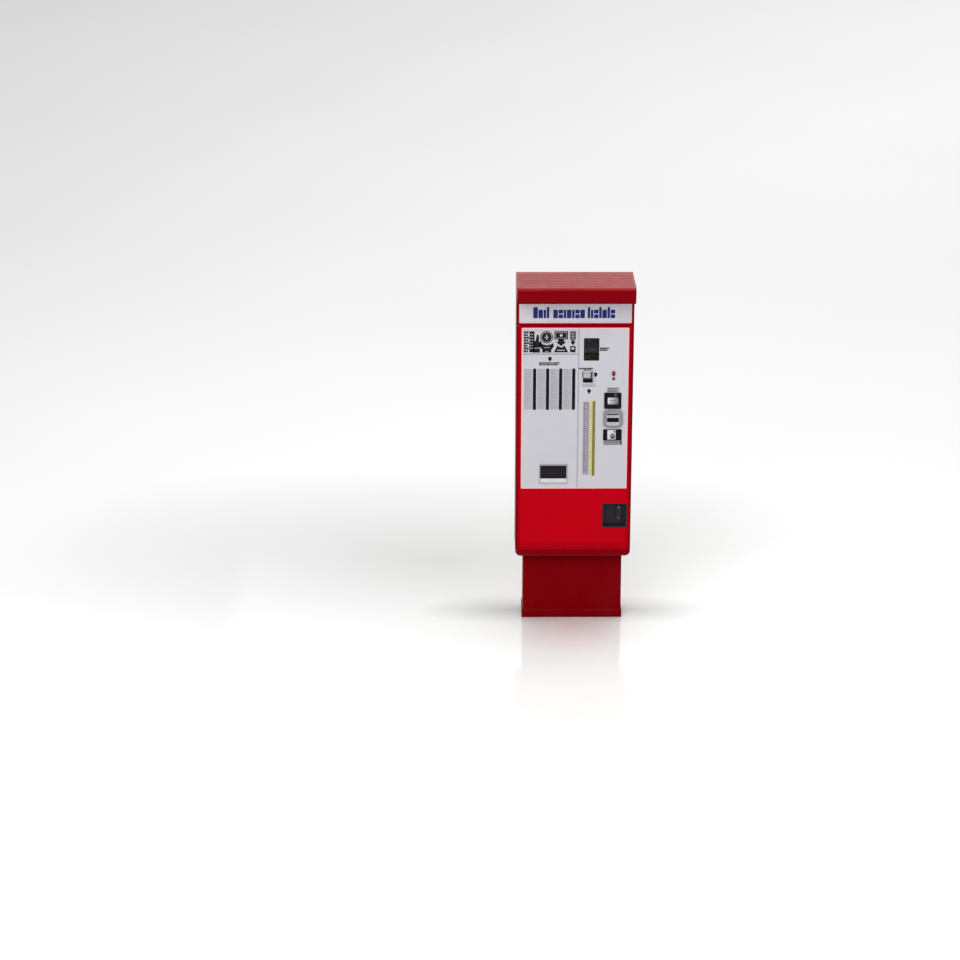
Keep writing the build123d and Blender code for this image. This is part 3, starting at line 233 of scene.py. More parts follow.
def powder_coat(name, colour, faded, tint, spec=0.3, shade_band=None, rim=None, dust=rgb(196, 128, 112)):
    """Powder coat: slight orange peel, sun-faded patches, wiped road film, dust on top, chips on edges.

    shade_band is the height at which painted shade makes the coat darkest, and the height at which it ends;
    noise breaks it up. rim is the distance from the middle, and the height, past which the coat has painted
    shade.
    """
    f = Finish(name, spec, Specular_Tint=tint)
    base = f.mix(f.span(f.noise(2.6, 4), 0.38, 0.66), colour, faded)
    # Painted shade by height, broken up by noise
    if shade_band:
        dirt = f.times(f.span(f.height(), shade_band[1], shade_band[0]), f.span(f.noise(7, 4), 0.2, 0.6, 0.8, 1))
        base = f.mix(f.times(dirt, 0.6), base, scaled(colour, 0.3))
    # Painted shade on the door's side margins, where its edges round away, and on its top band
    if rim:
        aside = f.span(f.math("ABSOLUTE", f.along("X"), 0), rim[0], HALF_WIDTH, 0.0, 0.95)
        shaded = f.math("MAXIMUM", aside, f.span(f.height(), rim[1], rim[1] + 8 * MM, 0.0, 0.75))
        base = f.mix(shaded, base, scaled(colour, 0.3))
    film = f.times(f.span(f.height(), 0.5, 0.0), f.span(f.noise(9, 6, (1, 1, 0.35)), 0.45, 0.75))
    base = f.mix(f.times(film, 0.05), base, rgb(112, 70, 62))
    dusty = f.times(f.facing_up(), f.span(f.noise(9, 5), 0.3, 0.8, 0.55, 1))
    base = f.mix(f.times(dusty, 0.14), base, dust)
    chips = f.times(f.edges(1.4 * MM), f.span(f.noise(85, 4), 0.64, 0.68))
    base = f.mix(f.times(chips, 0.5), base, rgb(150, 118, 112))
    f.colour(base)
    wear = f.span(f.noise(26, 6, (1, 1, 0.25)), 0.3, 0.75, 0.26, 0.4)
    f.roughness(f.math("ADD", wear, f.times(film, 0.2)))
    f.bump(f.noise(620, 2), 0.05 * MM, 0.35)
    f.bump(f.noise(7, 2), 0.5 * MM, 0.12)
    return f.material


def printed_plate(name, colour, warm, roughness=0.42, scuffs=0.06):
    """Laminated plate: faint mottling, wiped smears, a fine leather-like grain."""
    f = Finish(name, 0.4)
    base = f.mix(f.span(f.noise(5, 5), 0.35, 0.7), colour, warm)
    smear = f.span(f.noise(11, 6, (1, 1, 0.2), 0.8), 0.52, 0.74)
    base = f.mix(f.times(smear, scuffs), base, rgb(120, 116, 118))
    f.colour(base)
    f.roughness(f.span(smear, 0, 1, roughness, roughness + 0.16))
    f.bump(f.noise(1500, 2), 0.03 * MM, 0.4)
    return f.material


def ink(name, colour, roughness=0.5):
    """Screen-printed ink, a little thin and uneven."""
    f = Finish(name, 0.12)
    faded = scaled(colour, 0.9, 0.012)
    f.colour(f.mix(f.span(f.noise(160, 4), 0.45, 0.8), colour, faded))
    f.roughness(f.span(f.noise(300, 2), 0.3, 0.7, roughness - 0.08, roughness + 0.1))
    f.bump(f.noise(2200, 2), 0.02 * MM, 0.4)
    return f.material


def moulded(name, colour, roughness=0.45, grain=1100, depth=0.06, worn=None, spec=0.3):
    """Moulded plastic with a spark-eroded grain, polished where hands reach and dusty on top."""
    f = Finish(name, spec)
    worn = worn or scaled(colour, 1.25, 0.003)
    base = f.mix(f.span(f.noise(18, 4), 0.4, 0.75), colour, worn)
    base = f.mix(f.times(f.edges(0.9 * MM), 0.35), base, worn)
    dust = f.times(f.facing_up(), f.span(f.noise(40, 5), 0.35, 0.7))
    f.colour(f.mix(f.times(dust, 0.12), base, rgb(150, 146, 140)))
    f.roughness(f.span(f.noise(22, 3), 0.35, 0.7, roughness - 0.1, roughness + 0.12))
    f.bump(f.cells(grain), depth * MM, 0.5)
    return f.material


def zinc_sheet(name):
    """Hot-dip galvanised steel: spangle that differs crystal by crystal, and chalky patches."""
    f = Finish(name, Metallic=1.0)
    shade = f.add("ShaderNodeSeparateColor")
    f.join(f.cells(70, output="Color"), shade.inputs["Color"])
    base = f.mix(shade.outputs["Red"], rgb(150, 154, 158), rgb(196, 200, 203))
    chalk = f.span(f.noise(8, 6), 0.55, 0.75)
    f.colour(f.mix(f.times(chalk, 0.5), base, rgb(205, 207, 206)))
    f.roughness(f.span(shade.outputs["Green"], 0, 1, 0.32, 0.52))
    f.bump(f.cells(70, "DISTANCE_TO_EDGE"), 0.04 * MM, 0.3)
    return f.material


BRUSHING = (0.02, 1, 1)  # drawn out from side to side


def brushed(name, colour, roughness=0.34):
    """Metal brushed from side to side, with handling marks."""
    f = Finish(name, Metallic=1.0)
    lines = f.noise(900, 3, BRUSHING)
    dark = scaled(colour, 0.72)
    base = f.mix(f.span(lines, 0.3, 0.7), dark, colour)
    marks = f.span(f.noise(13, 6, distortion=0.6), 0.56, 0.7)
    f.colour(f.mix(f.times(marks, 0.3), base, dark))
    grooves = f.span(lines, 0.3, 0.7, roughness - 0.08, roughness + 0.08)
    f.roughness(f.math("ADD", grooves, f.times(marks, 0.15)))
    f.bump(lines, 0.02 * MM, 0.3)
    return f.material


def lit_guide(name):
    """The coin slot's guide, with painted light: bright at the left and darker towards the right, as a
    rounded face lit from the left, and darker towards the bottom.
    """
    f = Finish(name, 0.2)
    # Painted light across the guide, bright at the left
    painted_light = f.span(f.along("X"), COIN.x - 20 * MM, COIN.x + 30 * MM)
    base = f.mix(painted_light, rgb(206, 205, 208), rgb(92, 90, 95))
    # Darker towards the bottom
    low = f.span(f.height(), COIN.z - 6 * MM, COIN.z - 18 * MM)
    f.colour(f.mix(f.times(low, 0.7), base, rgb(60, 58, 63)))
    f.roughness(f.span(f.noise(60, 4), 0.3, 0.7, 0.3, 0.48))
    f.bump(f.noise(900, 3, BRUSHING), 0.02 * MM, 0.3)
    return f.material


def shaded_brow(name):
    """The tray's brow, pale at its upper edge and black with shade and dirt at the lower one."""
    f = Finish(name, 0.15)
    depth = f.span(f.height(), TRAY.z1 + 1 * MM, TRAY.z1 - 11 * MM)
    worn = f.mix(f.span(f.noise(60, 4), 0.4, 0.7), rgb(158, 156, 162), rgb(146, 144, 150))
    f.colour(f.mix(depth, worn, rgb(24, 22, 28)))
    f.roughness(f.span(f.noise(30, 3), 0.3, 0.7, 0.4, 0.55))
    f.bump(f.cells(1100), 0.05 * MM, 0.4)
    return f.material


def polished(name, colour, roughness=0.12):
    """Plated or polished metal with fine scratches and dulled patches."""
    f = Finish(name, Metallic=1.0)
    dull = f.span(f.noise(60, 5), 0.45, 0.75)
    f.colour(f.mix(f.times(dull, 0.4), colour, scaled(colour, 0.6)))
    scratches = f.span(f.noise(1400, 2, (1, 0.06, 1)), 0.4, 0.7, roughness, roughness + 0.1)
    f.roughness(f.math("ADD", f.times(dull, 0.2), scratches))
    return f.material


def soft_rubber(name, colour=rgb(30, 30, 32)):
    """Rubber with a dull grey bloom."""
    f = Finish(name, 0.3)
    bloom = f.span(f.noise(30, 5), 0.45, 0.75)
    f.colour(f.mix(f.times(bloom, 0.4), colour, rgb(78, 78, 78)))
    f.roughness(f.span(bloom, 0, 1, 0.62, 0.85))
    f.bump(f.noise(1800, 3), 0.05 * MM, 0.5)
    return f.material


def paper(name):
    """Uncoated ticket paper; rings show at the end of the roll."""
    f = Finish(name, 0.2)
    f.colour(f.mix(f.span(f.noise(500, 5), 0.35, 0.7), rgb(226, 223, 213), rgb(240, 238, 231)))
    f.roughness(f.span(f.noise(200, 3), 0.3, 0.7, 0.78, 0.92))
    rings = f.add("ShaderNodeTexWave", wave_type="RINGS", rings_direction="X")
    rings.inputs["Scale"].default_value = 900
    f.join(f.place, rings.inputs["Vector"])
    f.bump(rings.outputs["Fac"], 0.05 * MM, 0.3)
    return f.material


def circuit_board(name):
    """Green solder mask with copper tracks showing through it."""
    f = Finish(name, 0.5)
    tracks = f.add("ShaderNodeTexBrick")
    f.join(120, tracks.inputs["Scale"])
    f.join(0.08, tracks.inputs["Mortar Size"])
    f.join(rgb(18, 74, 44), tracks.inputs["Color1"])
    f.join(rgb(24, 88, 52), tracks.inputs["Color2"])
    f.join(rgb(66, 128, 74), tracks.inputs["Mortar"])
    f.join(f.mapped(Rotation=(math.pi / 2, 0, 0)), tracks.inputs["Vector"])
    f.colour(f.mix(f.span(f.noise(45, 3), 0.4, 0.7), tracks.outputs["Color"], rgb(16, 62, 38)))
    f.roughness(f.span(f.noise(90, 3), 0.3, 0.7, 0.28, 0.42))
    f.bump(tracks.outputs["Fac"], 0.05 * MM, 0.5)
    return f.material


def opal(name):
    """Opal acrylic of the sign, slightly yellowed and dusty along its lower edge."""
    f = Finish(name, 0.45)
    base = f.mix(f.span(f.noise(6, 4), 0.35, 0.7), rgb(200, 194, 201), rgb(192, 185, 191))
    low = f.span(f.height(), SIGN.z0 + 14 * MM, SIGN.z0)
    grime = f.times(low, f.span(f.noise(60, 5), 0.3, 0.7))
    f.colour(f.mix(f.times(grime, 0.35), base, rgb(150, 136, 132)))
    f.roughness(f.span(f.noise(30, 5), 0.3, 0.7, 0.22, 0.36))
    f.bump(f.noise(40, 2), 0.1 * MM, 0.15)
    return f.material


def clear_window(name):
    """Clear plastic, a little smeared."""
    f = Finish(name, Transmission_Weight=1.0, IOR=1.1)
    f.colour(f.mix(f.span(f.noise(20, 4), 0.4, 0.7), rgb(202, 206, 206), rgb(186, 190, 190)))
    f.roughness(f.span(f.noise(70, 5), 0.5, 0.8, 0.03, 0.12))
    return f.material


def liquid_crystal(name, colour):
    """A display's dot matrix."""
    f = Finish(name, 0.1)
    dots = f.cells(900, "F1")
    dim = scaled(colour, 0.78)
    f.colour(f.mix(f.span(dots, 0.2, 0.7), colour, dim))
    f.roughness(f.span(f.noise(80, 3), 0.3, 0.7, 0.2, 0.32))
    return f.material


RED_TINT = (1.0, 0.02, 0.05, 1.0)
WHITE_TINT = (1.0, 1.0, 1.0, 1.0)
# Door red with painted shade towards its lower edge, on its side margins and on its top band
DOOR_RED = powder_coat(
    "door_red", rgb(182, 1, 17), rgb(177, 2, 19), RED_TINT, shade_band=(0.395, 0.455), rim=(0.272, 1.62)
)
CASING_RED = powder_coat("casing_red", rgb(124, 1, 9), rgb(118, 2, 10), RED_TINT)
# Plinth red with painted shade towards its top, under the body
PLINTH_RED = powder_coat("plinth_red", rgb(120, 1, 8), rgb(115, 1, 9), RED_TINT, 0.2, (0.37, 0.27))
# Hood red with painted shade at the foot of the hood's front
HOOD_RED = powder_coat("hood_red", rgb(124, 1, 9), rgb(118, 2, 10), RED_TINT, 0.26, (1.793, 1.809))
SIDE_RED = powder_coat("side_red", rgb(118, 1, 8), rgb(112, 2, 9), RED_TINT, 0.04)
FASCIA_GREY = printed_plate("fascia_grey", rgb(195, 193, 200), rgb(191, 189, 196))
INSERT_PRINT = printed_plate("insert_print", rgb(170, 167, 177), rgb(165, 162, 172), 0.4, 0.1)
PLATE_WHITE = printed_plate("plate_white", rgb(196, 194, 197), rgb(188, 186, 189), 0.4, 0.1)
LABEL_GREY = printed_plate("label_grey", rgb(156, 153, 161), rgb(148, 145, 153), 0.4, 0.1)
LIST_GREY = printed_plate("list_grey", rgb(158, 153, 164), rgb(152, 147, 157), 0.38, 0.1)
KEY_BLACK = moulded("key_black", rgb(10, 9, 14), 0.42, 1400, 0.04, spec=0.08)
KEY_YELLOW = moulded("key_yellow", rgb(204, 200, 146), 0.42, 1400, 0.04, rgb(190, 186, 138))
KEY_OLIVE = moulded("key_olive", rgb(118, 108, 44), 0.42, 1400, 0.04)
BLACK_PLASTIC = moulded("black_plastic", rgb(14, 12, 17), spec=0.07)
GREY_PLASTIC = moulded("grey_plastic", rgb(148, 147, 153), worn=rgb(134, 134, 140))
PALE_PLASTIC = moulded("pale_plastic", rgb(192, 191, 197), worn=rgb(178, 177, 183))
DARK_GREY = moulded("dark_grey", rgb(74, 70, 77), spec=0.15)
RIM_GREY = moulded("rim_grey", rgb(128, 125, 132), spec=0.15)
KEY_WHITE = moulded("key_white", rgb(206, 205, 209), worn=rgb(196, 195, 199))
RED_PLASTIC = moulded("red_plastic", rgb(140, 24, 44), 0.26, 1500, 0.02, spec=0.2)
LENS_DARK = moulded("lens_dark", rgb(92, 76, 82), 0.14, 1700, 0.01, spec=0.2)
DISH_BLACK = powder_coat(
    "dish_black", rgb(36, 33, 40), rgb(40, 38, 44), WHITE_TINT, 0.1, dust=rgb(80, 78, 80)
)
HANDLE_BLACK = powder_coat(
    "handle_black", rgb(34, 31, 37), rgb(44, 41, 48), WHITE_TINT, 0.14, dust=rgb(90, 88, 90)
)
DULL_ZINC = brushed("dull_zinc", rgb(104, 98, 108), roughness=0.5)
SMOKED = moulded("smoked_flap", rgb(30, 27, 34), 0.3, 1700, 0.01, spec=0.05)
GALVANISED = zinc_sheet("galvanised")
STEEL = brushed("steel", rgb(178, 178, 180))
TRAY_STEEL = brushed("tray_steel", rgb(206, 206, 210))
COIN_GUIDE = lit_guide("coin_guide")
CHROME = polished("chrome", rgb(222, 222, 226))
BRASS = polished("brass", rgb(206, 170, 96), 0.22)
BROW_GREY = shaded_brow("brow_grey")
RUBBER = soft_rubber("rubber")
PAPER = paper("ticket_paper")
CIRCUIT = circuit_board("circuit_green")
SIGN_OPAL = opal("sign_opal")
TUBE_GLASS = moulded("tube_glass", rgb(232, 231, 224), 0.2, 1700, 0.01, rgb(224, 222, 214))
WINDOW_CLEAR = clear_window("window_clear")
LCD_DARK = liquid_crystal("lcd_dark", rgb(76, 73, 76))
LCD_MID = liquid_crystal("lcd_mid", rgb(104, 101, 104))
LCD_OLIVE = liquid_crystal("lcd_olive", rgb(62, 62, 42))
LCD_LINES = liquid_crystal("lcd_lines", rgb(84, 82, 84))
INK_BLACK = ink("ink_black", rgb(22, 20, 26))
INK_GREY = ink("ink_grey", rgb(128, 125, 134))
INK_DARK = ink("ink_dark", rgb(62, 58, 66))
INK_FAINT = ink("ink_faint", rgb(154, 150, 161))
INK_BLUE = ink("ink_blue", rgb(22, 38, 108), 0.4)
EDGE_WHITE = ink("edge_white", rgb(240, 188, 197))
SEAM_GREY = soft_rubber("seam_grey", rgb(92, 90, 96))

# The finish of each slot
NODE_FINISHES = dict(
    door_red=DOOR_RED, casing_red=CASING_RED, fascia_grey=FASCIA_GREY, insert_print=INSERT_PRINT,
    key_black=KEY_BLACK, key_yellow=KEY_YELLOW, sign_diffuser=SIGN_OPAL, lamp_glass=TUBE_GLASS,
    display_glass=WINDOW_CLEAR, black_plastic=BLACK_PLASTIC, grey_plastic=GREY_PLASTIC,
    red_plastic=RED_PLASTIC, lens_dark=LENS_DARK, galvanised=GALVANISED, steel=STEEL, chrome=CHROME,
    brass=BRASS, cast_zinc=HANDLE_BLACK, tray_metal=TRAY_STEEL, smoke_plastic=SMOKED, rubber=RUBBER,
    paper=PAPER, circuit_green=CIRCUIT,
)


def finish_nodes():
    """Every part shown as it is takes the finish of its slot."""
    for part in frame["record"]["subparts"]:
        mesh = frame["nodes"][part["node"]].data
        mesh.materials.clear()
        mesh.materials.append(NODE_FINISHES[part["material_slot"]])


def paint(node, material, chosen=None):
    """Gives another finish to a part's faces: the ones that chosen(centre, normal) picks, or all."""
    mesh = frame["nodes"][node].data
    mesh.materials.append(material)
    index = len(mesh.materials) - 1
    for face in mesh.polygons:
        if chosen is None or chosen(face.center, face.normal):
            face.material_index = index


# Outlines, and pieces made from them
def arc(x, z, r, start, end, steps):
    """Points along an arc, with angles in turns."""
    angles = [2 * math.pi * (start + (end - start) * i / steps) for i in range(steps + 1)]
    return [(x + r * math.cos(a), z + r * math.sin(a)) for a in angles]


def rounded(x0, x1, z0, z1, r):
    """A rectangle's outline with rounded corners, anticlockwise from the right-hand side."""
    corners = ((x1 - r, z1 - r, 0), (x0 + r, z1 - r, 0.25), (x0 + r, z0 + r, 0.5), (x1 - r, z0 + r, 0.75))
    return [p for x, z, start in corners for p in arc(x, z, r, start, start + 0.25, 4)]


class Relief:
    """Raised shapes that face the front of the machine, gathered into one mesh."""

    def __init__(self, surface, rise=INK, sink=SINK):
        self.mesh = bmesh.new()
        self.back, self.front = surface + sink, surface - rise

    def loop(self, points, y):
        return [self.mesh.verts.new((x, y, z)) for x, z in points]

    def sides(self, a, b):
        for i in range(len(a)):
            j = (i + 1) % len(a)
            self.mesh.faces.new((a[i], a[j], b[j], b[i]))

    def shape(self, points, bevel=0.0):
        """A closed outline; bevel draws its front edge in."""
        back = self.loop(points, self.back)
        if bevel:
            shoulder = self.loop(points, self.front + bevel)
            self.sides(back, shoulder)
            x = sum(p[0] for p in points) / len(points)
            z = sum(p[1] for p in points) / len(points)
            size = max(max(abs(p[0] - x), abs(p[1] - z)) for p in points)
            share = 1 - bevel / size
            front = self.loop([(x + (px - x) * share, z + (pz - z) * share) for px, pz in points], self.front)
            self.sides(shoulder, front)
        else:
            front = self.loop(points, self.front)
            self.sides(back, front)
        self.mesh.faces.new(back)
        self.mesh.faces.new(front)

    def box(self, x0, x1, z0, z1, r=0.0, bevel=0.0):
        self.shape(rounded(x0, x1, z0, z1, r) if r else [(x1, z1), (x0, z1), (x0, z0), (x1, z0)], bevel)

    def slab(self, x, z, left, right, bottom, top, r=0, bevel=0):
        """A box, in millimetres from a place."""
        self.box(x + left * MM, x + right * MM, z + bottom * MM, z + top * MM, r * MM, bevel * MM)

    def polygon(self, x, z, corners):
        """A closed outline, in millimetres from a place."""
        self.shape([(x + dx * MM, z + dz * MM) for dx, dz in corners])

    def disc(self, x, z, r, steps=28, bevel=0.0):
        self.shape(arc(x, z, r, 0, 1 - 1 / steps, steps - 1), bevel)

    def band(self, outer, inner):
        """The strip between two outlines with the same number of points."""
        loops = [[self.loop(points, y) for points in (outer, inner)] for y in (self.back, self.front)]
        (outer_back, inner_back), (outer_front, inner_front) = loops
        for a, b in ((outer_back, inner_back), (outer_front, inner_front)):
            self.sides(a, b)
        self.sides(outer_back, outer_front)
        self.sides(inner_back, inner_front)

    def ring(self, x, z, r, width, steps=32):
        outer = arc(x, z, r, 0, 1 - 1 / steps, steps - 1)
        self.band(outer, arc(x, z, r - width, 0, 1 - 1 / steps, steps - 1))

    def frame(self, x0, x1, z0, z1, r, width):
        inner_r = max(r - width, 0.2 * MM)
        self.band(rounded(x0, x1, z0, z1, r), rounded(*inset((x0, x1, z0, z1), width), inner_r))

    def stroke(self, a, b, width):
        """A straight line with round ends."""
        angle = math.atan2(b[1] - a[1], b[0] - a[0]) / (2 * math.pi)
        far = arc(*b, width / 2, angle - 0.25, angle + 0.25, 6)
        self.shape(far + arc(*a, width / 2, angle + 0.25, angle + 0.75, 6))

    def words(self, x0, x1, z, height, rng, gap=1.0):
        """A line of bars as long as words, in place of text."""
        x = x0
        while x < x1 - 1.5 * height:
            width = min(height * rng.uniform(1.4, 4.2), x1 - x)
            self.box(x, x + width, z - height / 2, z + height / 2)
            x += width + gap * height

    def text(self, characters, x, z, height):
        """Upright characters, centred on a place."""
        curve = bpy.data.curves.new("characters", "FONT")
        curve.body = characters
        curve.size = height * 1.4
        curve.align_x, curve.align_y = "CENTER", "CENTER"
        curve.extrude = (self.back - self.front) / 2
        source = linked("characters", curve)
        mesh = bpy.data.meshes.new_from_object(source.evaluated_get(bpy.context.evaluated_depsgraph_get()))
        stand = Matrix.Rotation(math.pi / 2, 4, "X")
        mesh.transform(Matrix.Translation((x, (self.back + self.front) / 2, z)) @ stand)
        self.mesh.from_mesh(mesh)
        bpy.data.objects.remove(source)
        bpy.data.curves.remove(curve)
        bpy.data.meshes.remove(mesh)

    def done(self, name, material, body="door"):
        piece(name, self.mesh, material, body)


def linked(name, data):
    """A new object in the scene."""
    thing = bpy.data.objects.new(name, data)
    bpy.context.scene.collection.objects.link(thing)
    return thing


def piece(name, mesh, material, body):
    """Turns a mesh into a flat-shaded object that rides on a body."""
    bmesh.ops.recalc_face_normals(mesh, faces=mesh.faces)
    data = bpy.data.meshes.new(name)
    mesh.to_mesh(data)
    mesh.free()
    data.materials.append(material)
    data.shade_flat()
    thing = linked(name, data)
    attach(thing, body)


# The sign and the fascias
def sign_blocks():
    """Three groups of plain blocks on the sign, each block tall or low, wide or narrow, whole or split."""
    low, small, tall = SIGN.z0 + 27 * MM, 45 * MM, 59 * MM
    narrow, wide, gap, corner, half_split = 12.5 * MM, 23 * MM, 3.4 * MM, 3 * MM, 2.5 * MM
    groups = (
        (-215 * MM, "W w n N"),
        (-113 * MM, "w s n w n s w"),
        (62 * MM, "N n s N w N s"),
    )
    marks_on_sign = Relief(SIGN.front, 0.5 * MM)
    for x, marks in groups:
        for mark in marks.split():
            width = narrow if mark in "nN" else wide
            top = low + (tall if mark.isupper() else small)
            if mark == "s":
                middle = (low + top) / 2
                marks_on_sign.box(x, x + width, low, middle - half_split, corner)
                marks_on_sign.box(x, x + width, middle + half_split, top, corner)
            else:
                marks_on_sign.box(x, x + width, low, top, corner)
            x += width + gap
    marks_on_sign.done("sign_blocks", INK_BLUE, "cabinet")


def fascia_edging():
    """Pale edging round both fascias, the joint between them, and printed lines beside the joint."""
    edging = Relief(FASCIA_FRONT, 0.5 * MM)
    both = (LEFT_FASCIA.x0, RIGHT_FASCIA.x1, LEFT_FASCIA.z0, LEFT_FASCIA.z1)
    edging.frame(*inset(both, 0.4 * MM), 5 * MM, 4.6 * MM)
    edging.done("fascia_edging", EDGE_WHITE)
    joint = Relief(FASCIA_FRONT, -0.2 * MM, 1.9 * MM)
    joint.box(LEFT_FASCIA.x1, RIGHT_FASCIA.x0, LEFT_FASCIA.z0 + 4 * MM, LEFT_FASCIA.z1 - 4 * MM)
    joint.done("fascia_joint", SEAM_GREY)
    lines = Relief(FASCIA_FRONT)
    x = LEFT_FASCIA.x1 - 3.2 * MM
    lines.box(x, x + 0.9 * MM, LEFT_FASCIA.z0 + 5 * MM, LEFT_FASCIA.z1 - 5 * MM)
    left, right, bottom, _ = GUIDE_PLATE
    lines.box(left, right + 12 * MM, bottom - 7 * MM, bottom - 3 * MM)
    lines.done("fascia_lines", INK_GREY)


def step_marks():
    """Numbered markers with a pointed foot, which give the order of the steps."""
    markers = Relief(FASCIA_FRONT)
    digits = Relief(FASCIA_FRONT - INK)
    r, foot = STEP_MARK_R, 1.75 * STEP_MARK_R
    for digit, (x, z) in STEP_MARKS.items():
        markers.shape(arc(x, z, r, -0.07, 0.57, 24) + [(x, z - foot)])
        digits.text(digit, x, z, 6 * MM)
    markers.done("step_marks", INK_BLACK)
    digits.done("step_digits", INK_DARK)


def captions():
    """Short lines of bars beside the steps, the display and the card slot."""
    rng = random.Random(SEED)
    marks = Relief(FASCIA_FRONT)
    for z in (1423 * MM, 1432.5 * MM):
        marks.words(-184 * MM, -76 * MM, z, 7.6 * MM, rng, 0.25)
    for z in (1501 * MM, 1511 * MM):
        marks.words(127 * MM, 173 * MM, z, 8.4 * MM, rng, 0.2)
    marks.words(20 * MM, 96 * MM, 1402 * MM, 7.4 * MM, rng, 0.2)
    marks.words(46 * MM, 88 * MM, 1393.5 * MM, 6.4 * MM, rng, 0.2)
    marks.done("captions", INK_DARK)


# The instruction plate: five generic pictograms in black on white
def hand(marks, x, z, size, side=1):
    """A pointing hand: a cuff, a palm, a thumb and one long finger."""
    marks.box(x - 0.20 * size, x + 0.20 * size, z - 0.55 * size, z - 0.30 * size, 0.04 * size)
    outline = ((0.2, -0.27), (0.27, 0.02), (0.16, 0.14), (0.05, 0.12), (-0.02, 0.5), (-0.13, 0.5),
               (-0.15, 0.08), (-0.28, 0.1), (-0.3, 0.0), (-0.16, -0.27))
    marks.shape([(x + side * dx * size, z + dz * size) for dx, dz in outline])


def instruction_plate():
    """A white plate with bars in place of text at its left, and black pictograms with white details."""
    x0, x1, z0, z1 = GUIDE_PLATE
    sheet = Relief(INSERTS.front, PLATE)
    sheet.box(*inset(GUIDE_PLATE, 1 * MM), 2 * MM)
    sheet.done("instruction_sheet", PLATE_WHITE)
    black = Relief(INSERTS.front - PLATE)
    white = Relief(INSERTS.front - PLATE - INK)

    # A column of bars in place of text
    for row, length in enumerate((24, 20, 26, 22, 26, 18, 25, 21)):
        z, half = z1 - (10 + 14.4 * row) * MM, 5.6 * MM
        black.box(x0 + 3 * MM, x0 + (3 + length) * MM, z - half, z + half)
        white.box(x0 + (8 + length / 3) * MM, x0 + (9.4 + length / 3) * MM, z - half, z + half)

    # A keypad and a pointing hand
    x, z = x0 + 43 * MM, z0
    black.box(x - 12 * MM, x + 14 * MM, z + 5 * MM, z1 - 4 * MM, 3 * MM)
    for row in range(6):
        for column in (-8, 1):
            low = z + (24 + 15 * row) * MM
            white.slab(x, low, column, column + 5, 0, 5, 1)
    hand(black, x + 24 * MM, z + 54 * MM, 92 * MM, -1)

    # A coin above a cupped hand
    x = x0 + 119 * MM
    black.disc(x, z1 - 36 * MM, 33 * MM, 48)
    white.ring(x, z1 - 36 * MM, 28 * MM, 2.2 * MM, 48)
    white.slab(x, z1, -2.5, 2.5, -50, -22, 2)
    white.slab(x, z1, -10, 10, -39, -34, 2)
    black.polygon(x, z0, ((-38, 58), (-36, 34), (-22, 20), (-22, 4), (24, 4), (25, 20), (37, 36), (34, 56),
                           (20, 47), (0, 43), (-22, 49)))
    white.stroke((x - 12 * MM, z0 + 30 * MM), (x + 14 * MM, z0 + 32 * MM), 2.6 * MM)
    white.stroke((x - 6 * MM, z0 + 9 * MM), (x + 8 * MM, z0 + 9 * MM), 2.4 * MM)

    # A banknote, an arrow and the slot that takes it
    x = x0 + 193 * MM
    black.slab(x, z1, -35, 35, -48, -4, 3)
    white.frame(x - 29 * MM, x + 29 * MM, z1 - 42 * MM, z1 - 10 * MM, 2 * MM, 1.8 * MM)
    white.disc(x, z1 - 26 * MM, 7 * MM, 28)
    black.polygon(x, z1, ((-15, -47), (15, -47), (15, -60), (28, -60), (0, -84), (-28, -60), (-15, -60)))
    black.polygon(x, z0, ((-37, 5), (-18, 42), (-6, 32), (6, 32), (18, 42), (37, 5)))
    white.slab(x, z0, -20, 20, 14, 18, 2)

    # A ticket that drops into a tray
    x = x1 - 16 * MM
    black.slab(x, z1, -14, 14, -50, -5, 2)
    for row in range(4):
        white.slab(x, z1, -8, 8, 9 * row - 43, 9 * row - 40)
    black.polygon(x, z1, ((-8, -52), (8, -52), (8, -62), (14, -62), (0, -79), (-14, -62), (-8, -62)))
    black.slab(x, z0, -14, 14, 5, 39, 6)
    white.slab(x, z0, -7, 7, 20, 31, 2)
    black.done("pictograms", INK_BLACK)
    white.done("pictogram_details", PLATE_WHITE)


# Lists of names, and marks on the keys
def column_x(column):
    """The middle of a column of destination keys."""
    return KEYS.x0 + (KEYS.x1 - KEYS.x0 - 3 * KEY_PITCH) / 2 + KEY_PITCH * column


def destination_lists():
    """Two lines of bars beside each destination key, and thin rules between the rows."""
    rng = random.Random(SEED + 2)
    marks = Relief(INSERTS.front)
    rules = Relief(INSERTS.front)
    pitch = (KEYS.z1 - KEYS.z0) / KEY_ROWS
    for column in range(KEY_COLUMNS):
        x0 = column_x(column) + LIST_OFFSET - LIST_WIDTH / 2
        for row in range(KEY_ROWS):
            z = KEYS.z0 + pitch * (row + 0.5)
            marks.words(x0 + 3 * MM, x0 + rng.uniform(24, 37) * MM, z + 2.8 * MM, 2.6 * MM, rng, 0.6)
            marks.words(x0 + 3 * MM, x0 + rng.uniform(12, 28) * MM, z - 2.8 * MM, 1.8 * MM, rng, 0.6)
            if row:
                low, half = KEYS.z0 + pitch * row, 0.3 * MM
                rules.box(x0 + 1.5 * MM, x0 + LIST_WIDTH - 1.5 * MM, low - half, low + half)
    marks.done("destination_names", INK_FAINT)
    rules.done("destination_rules", FASCIA_GREY)


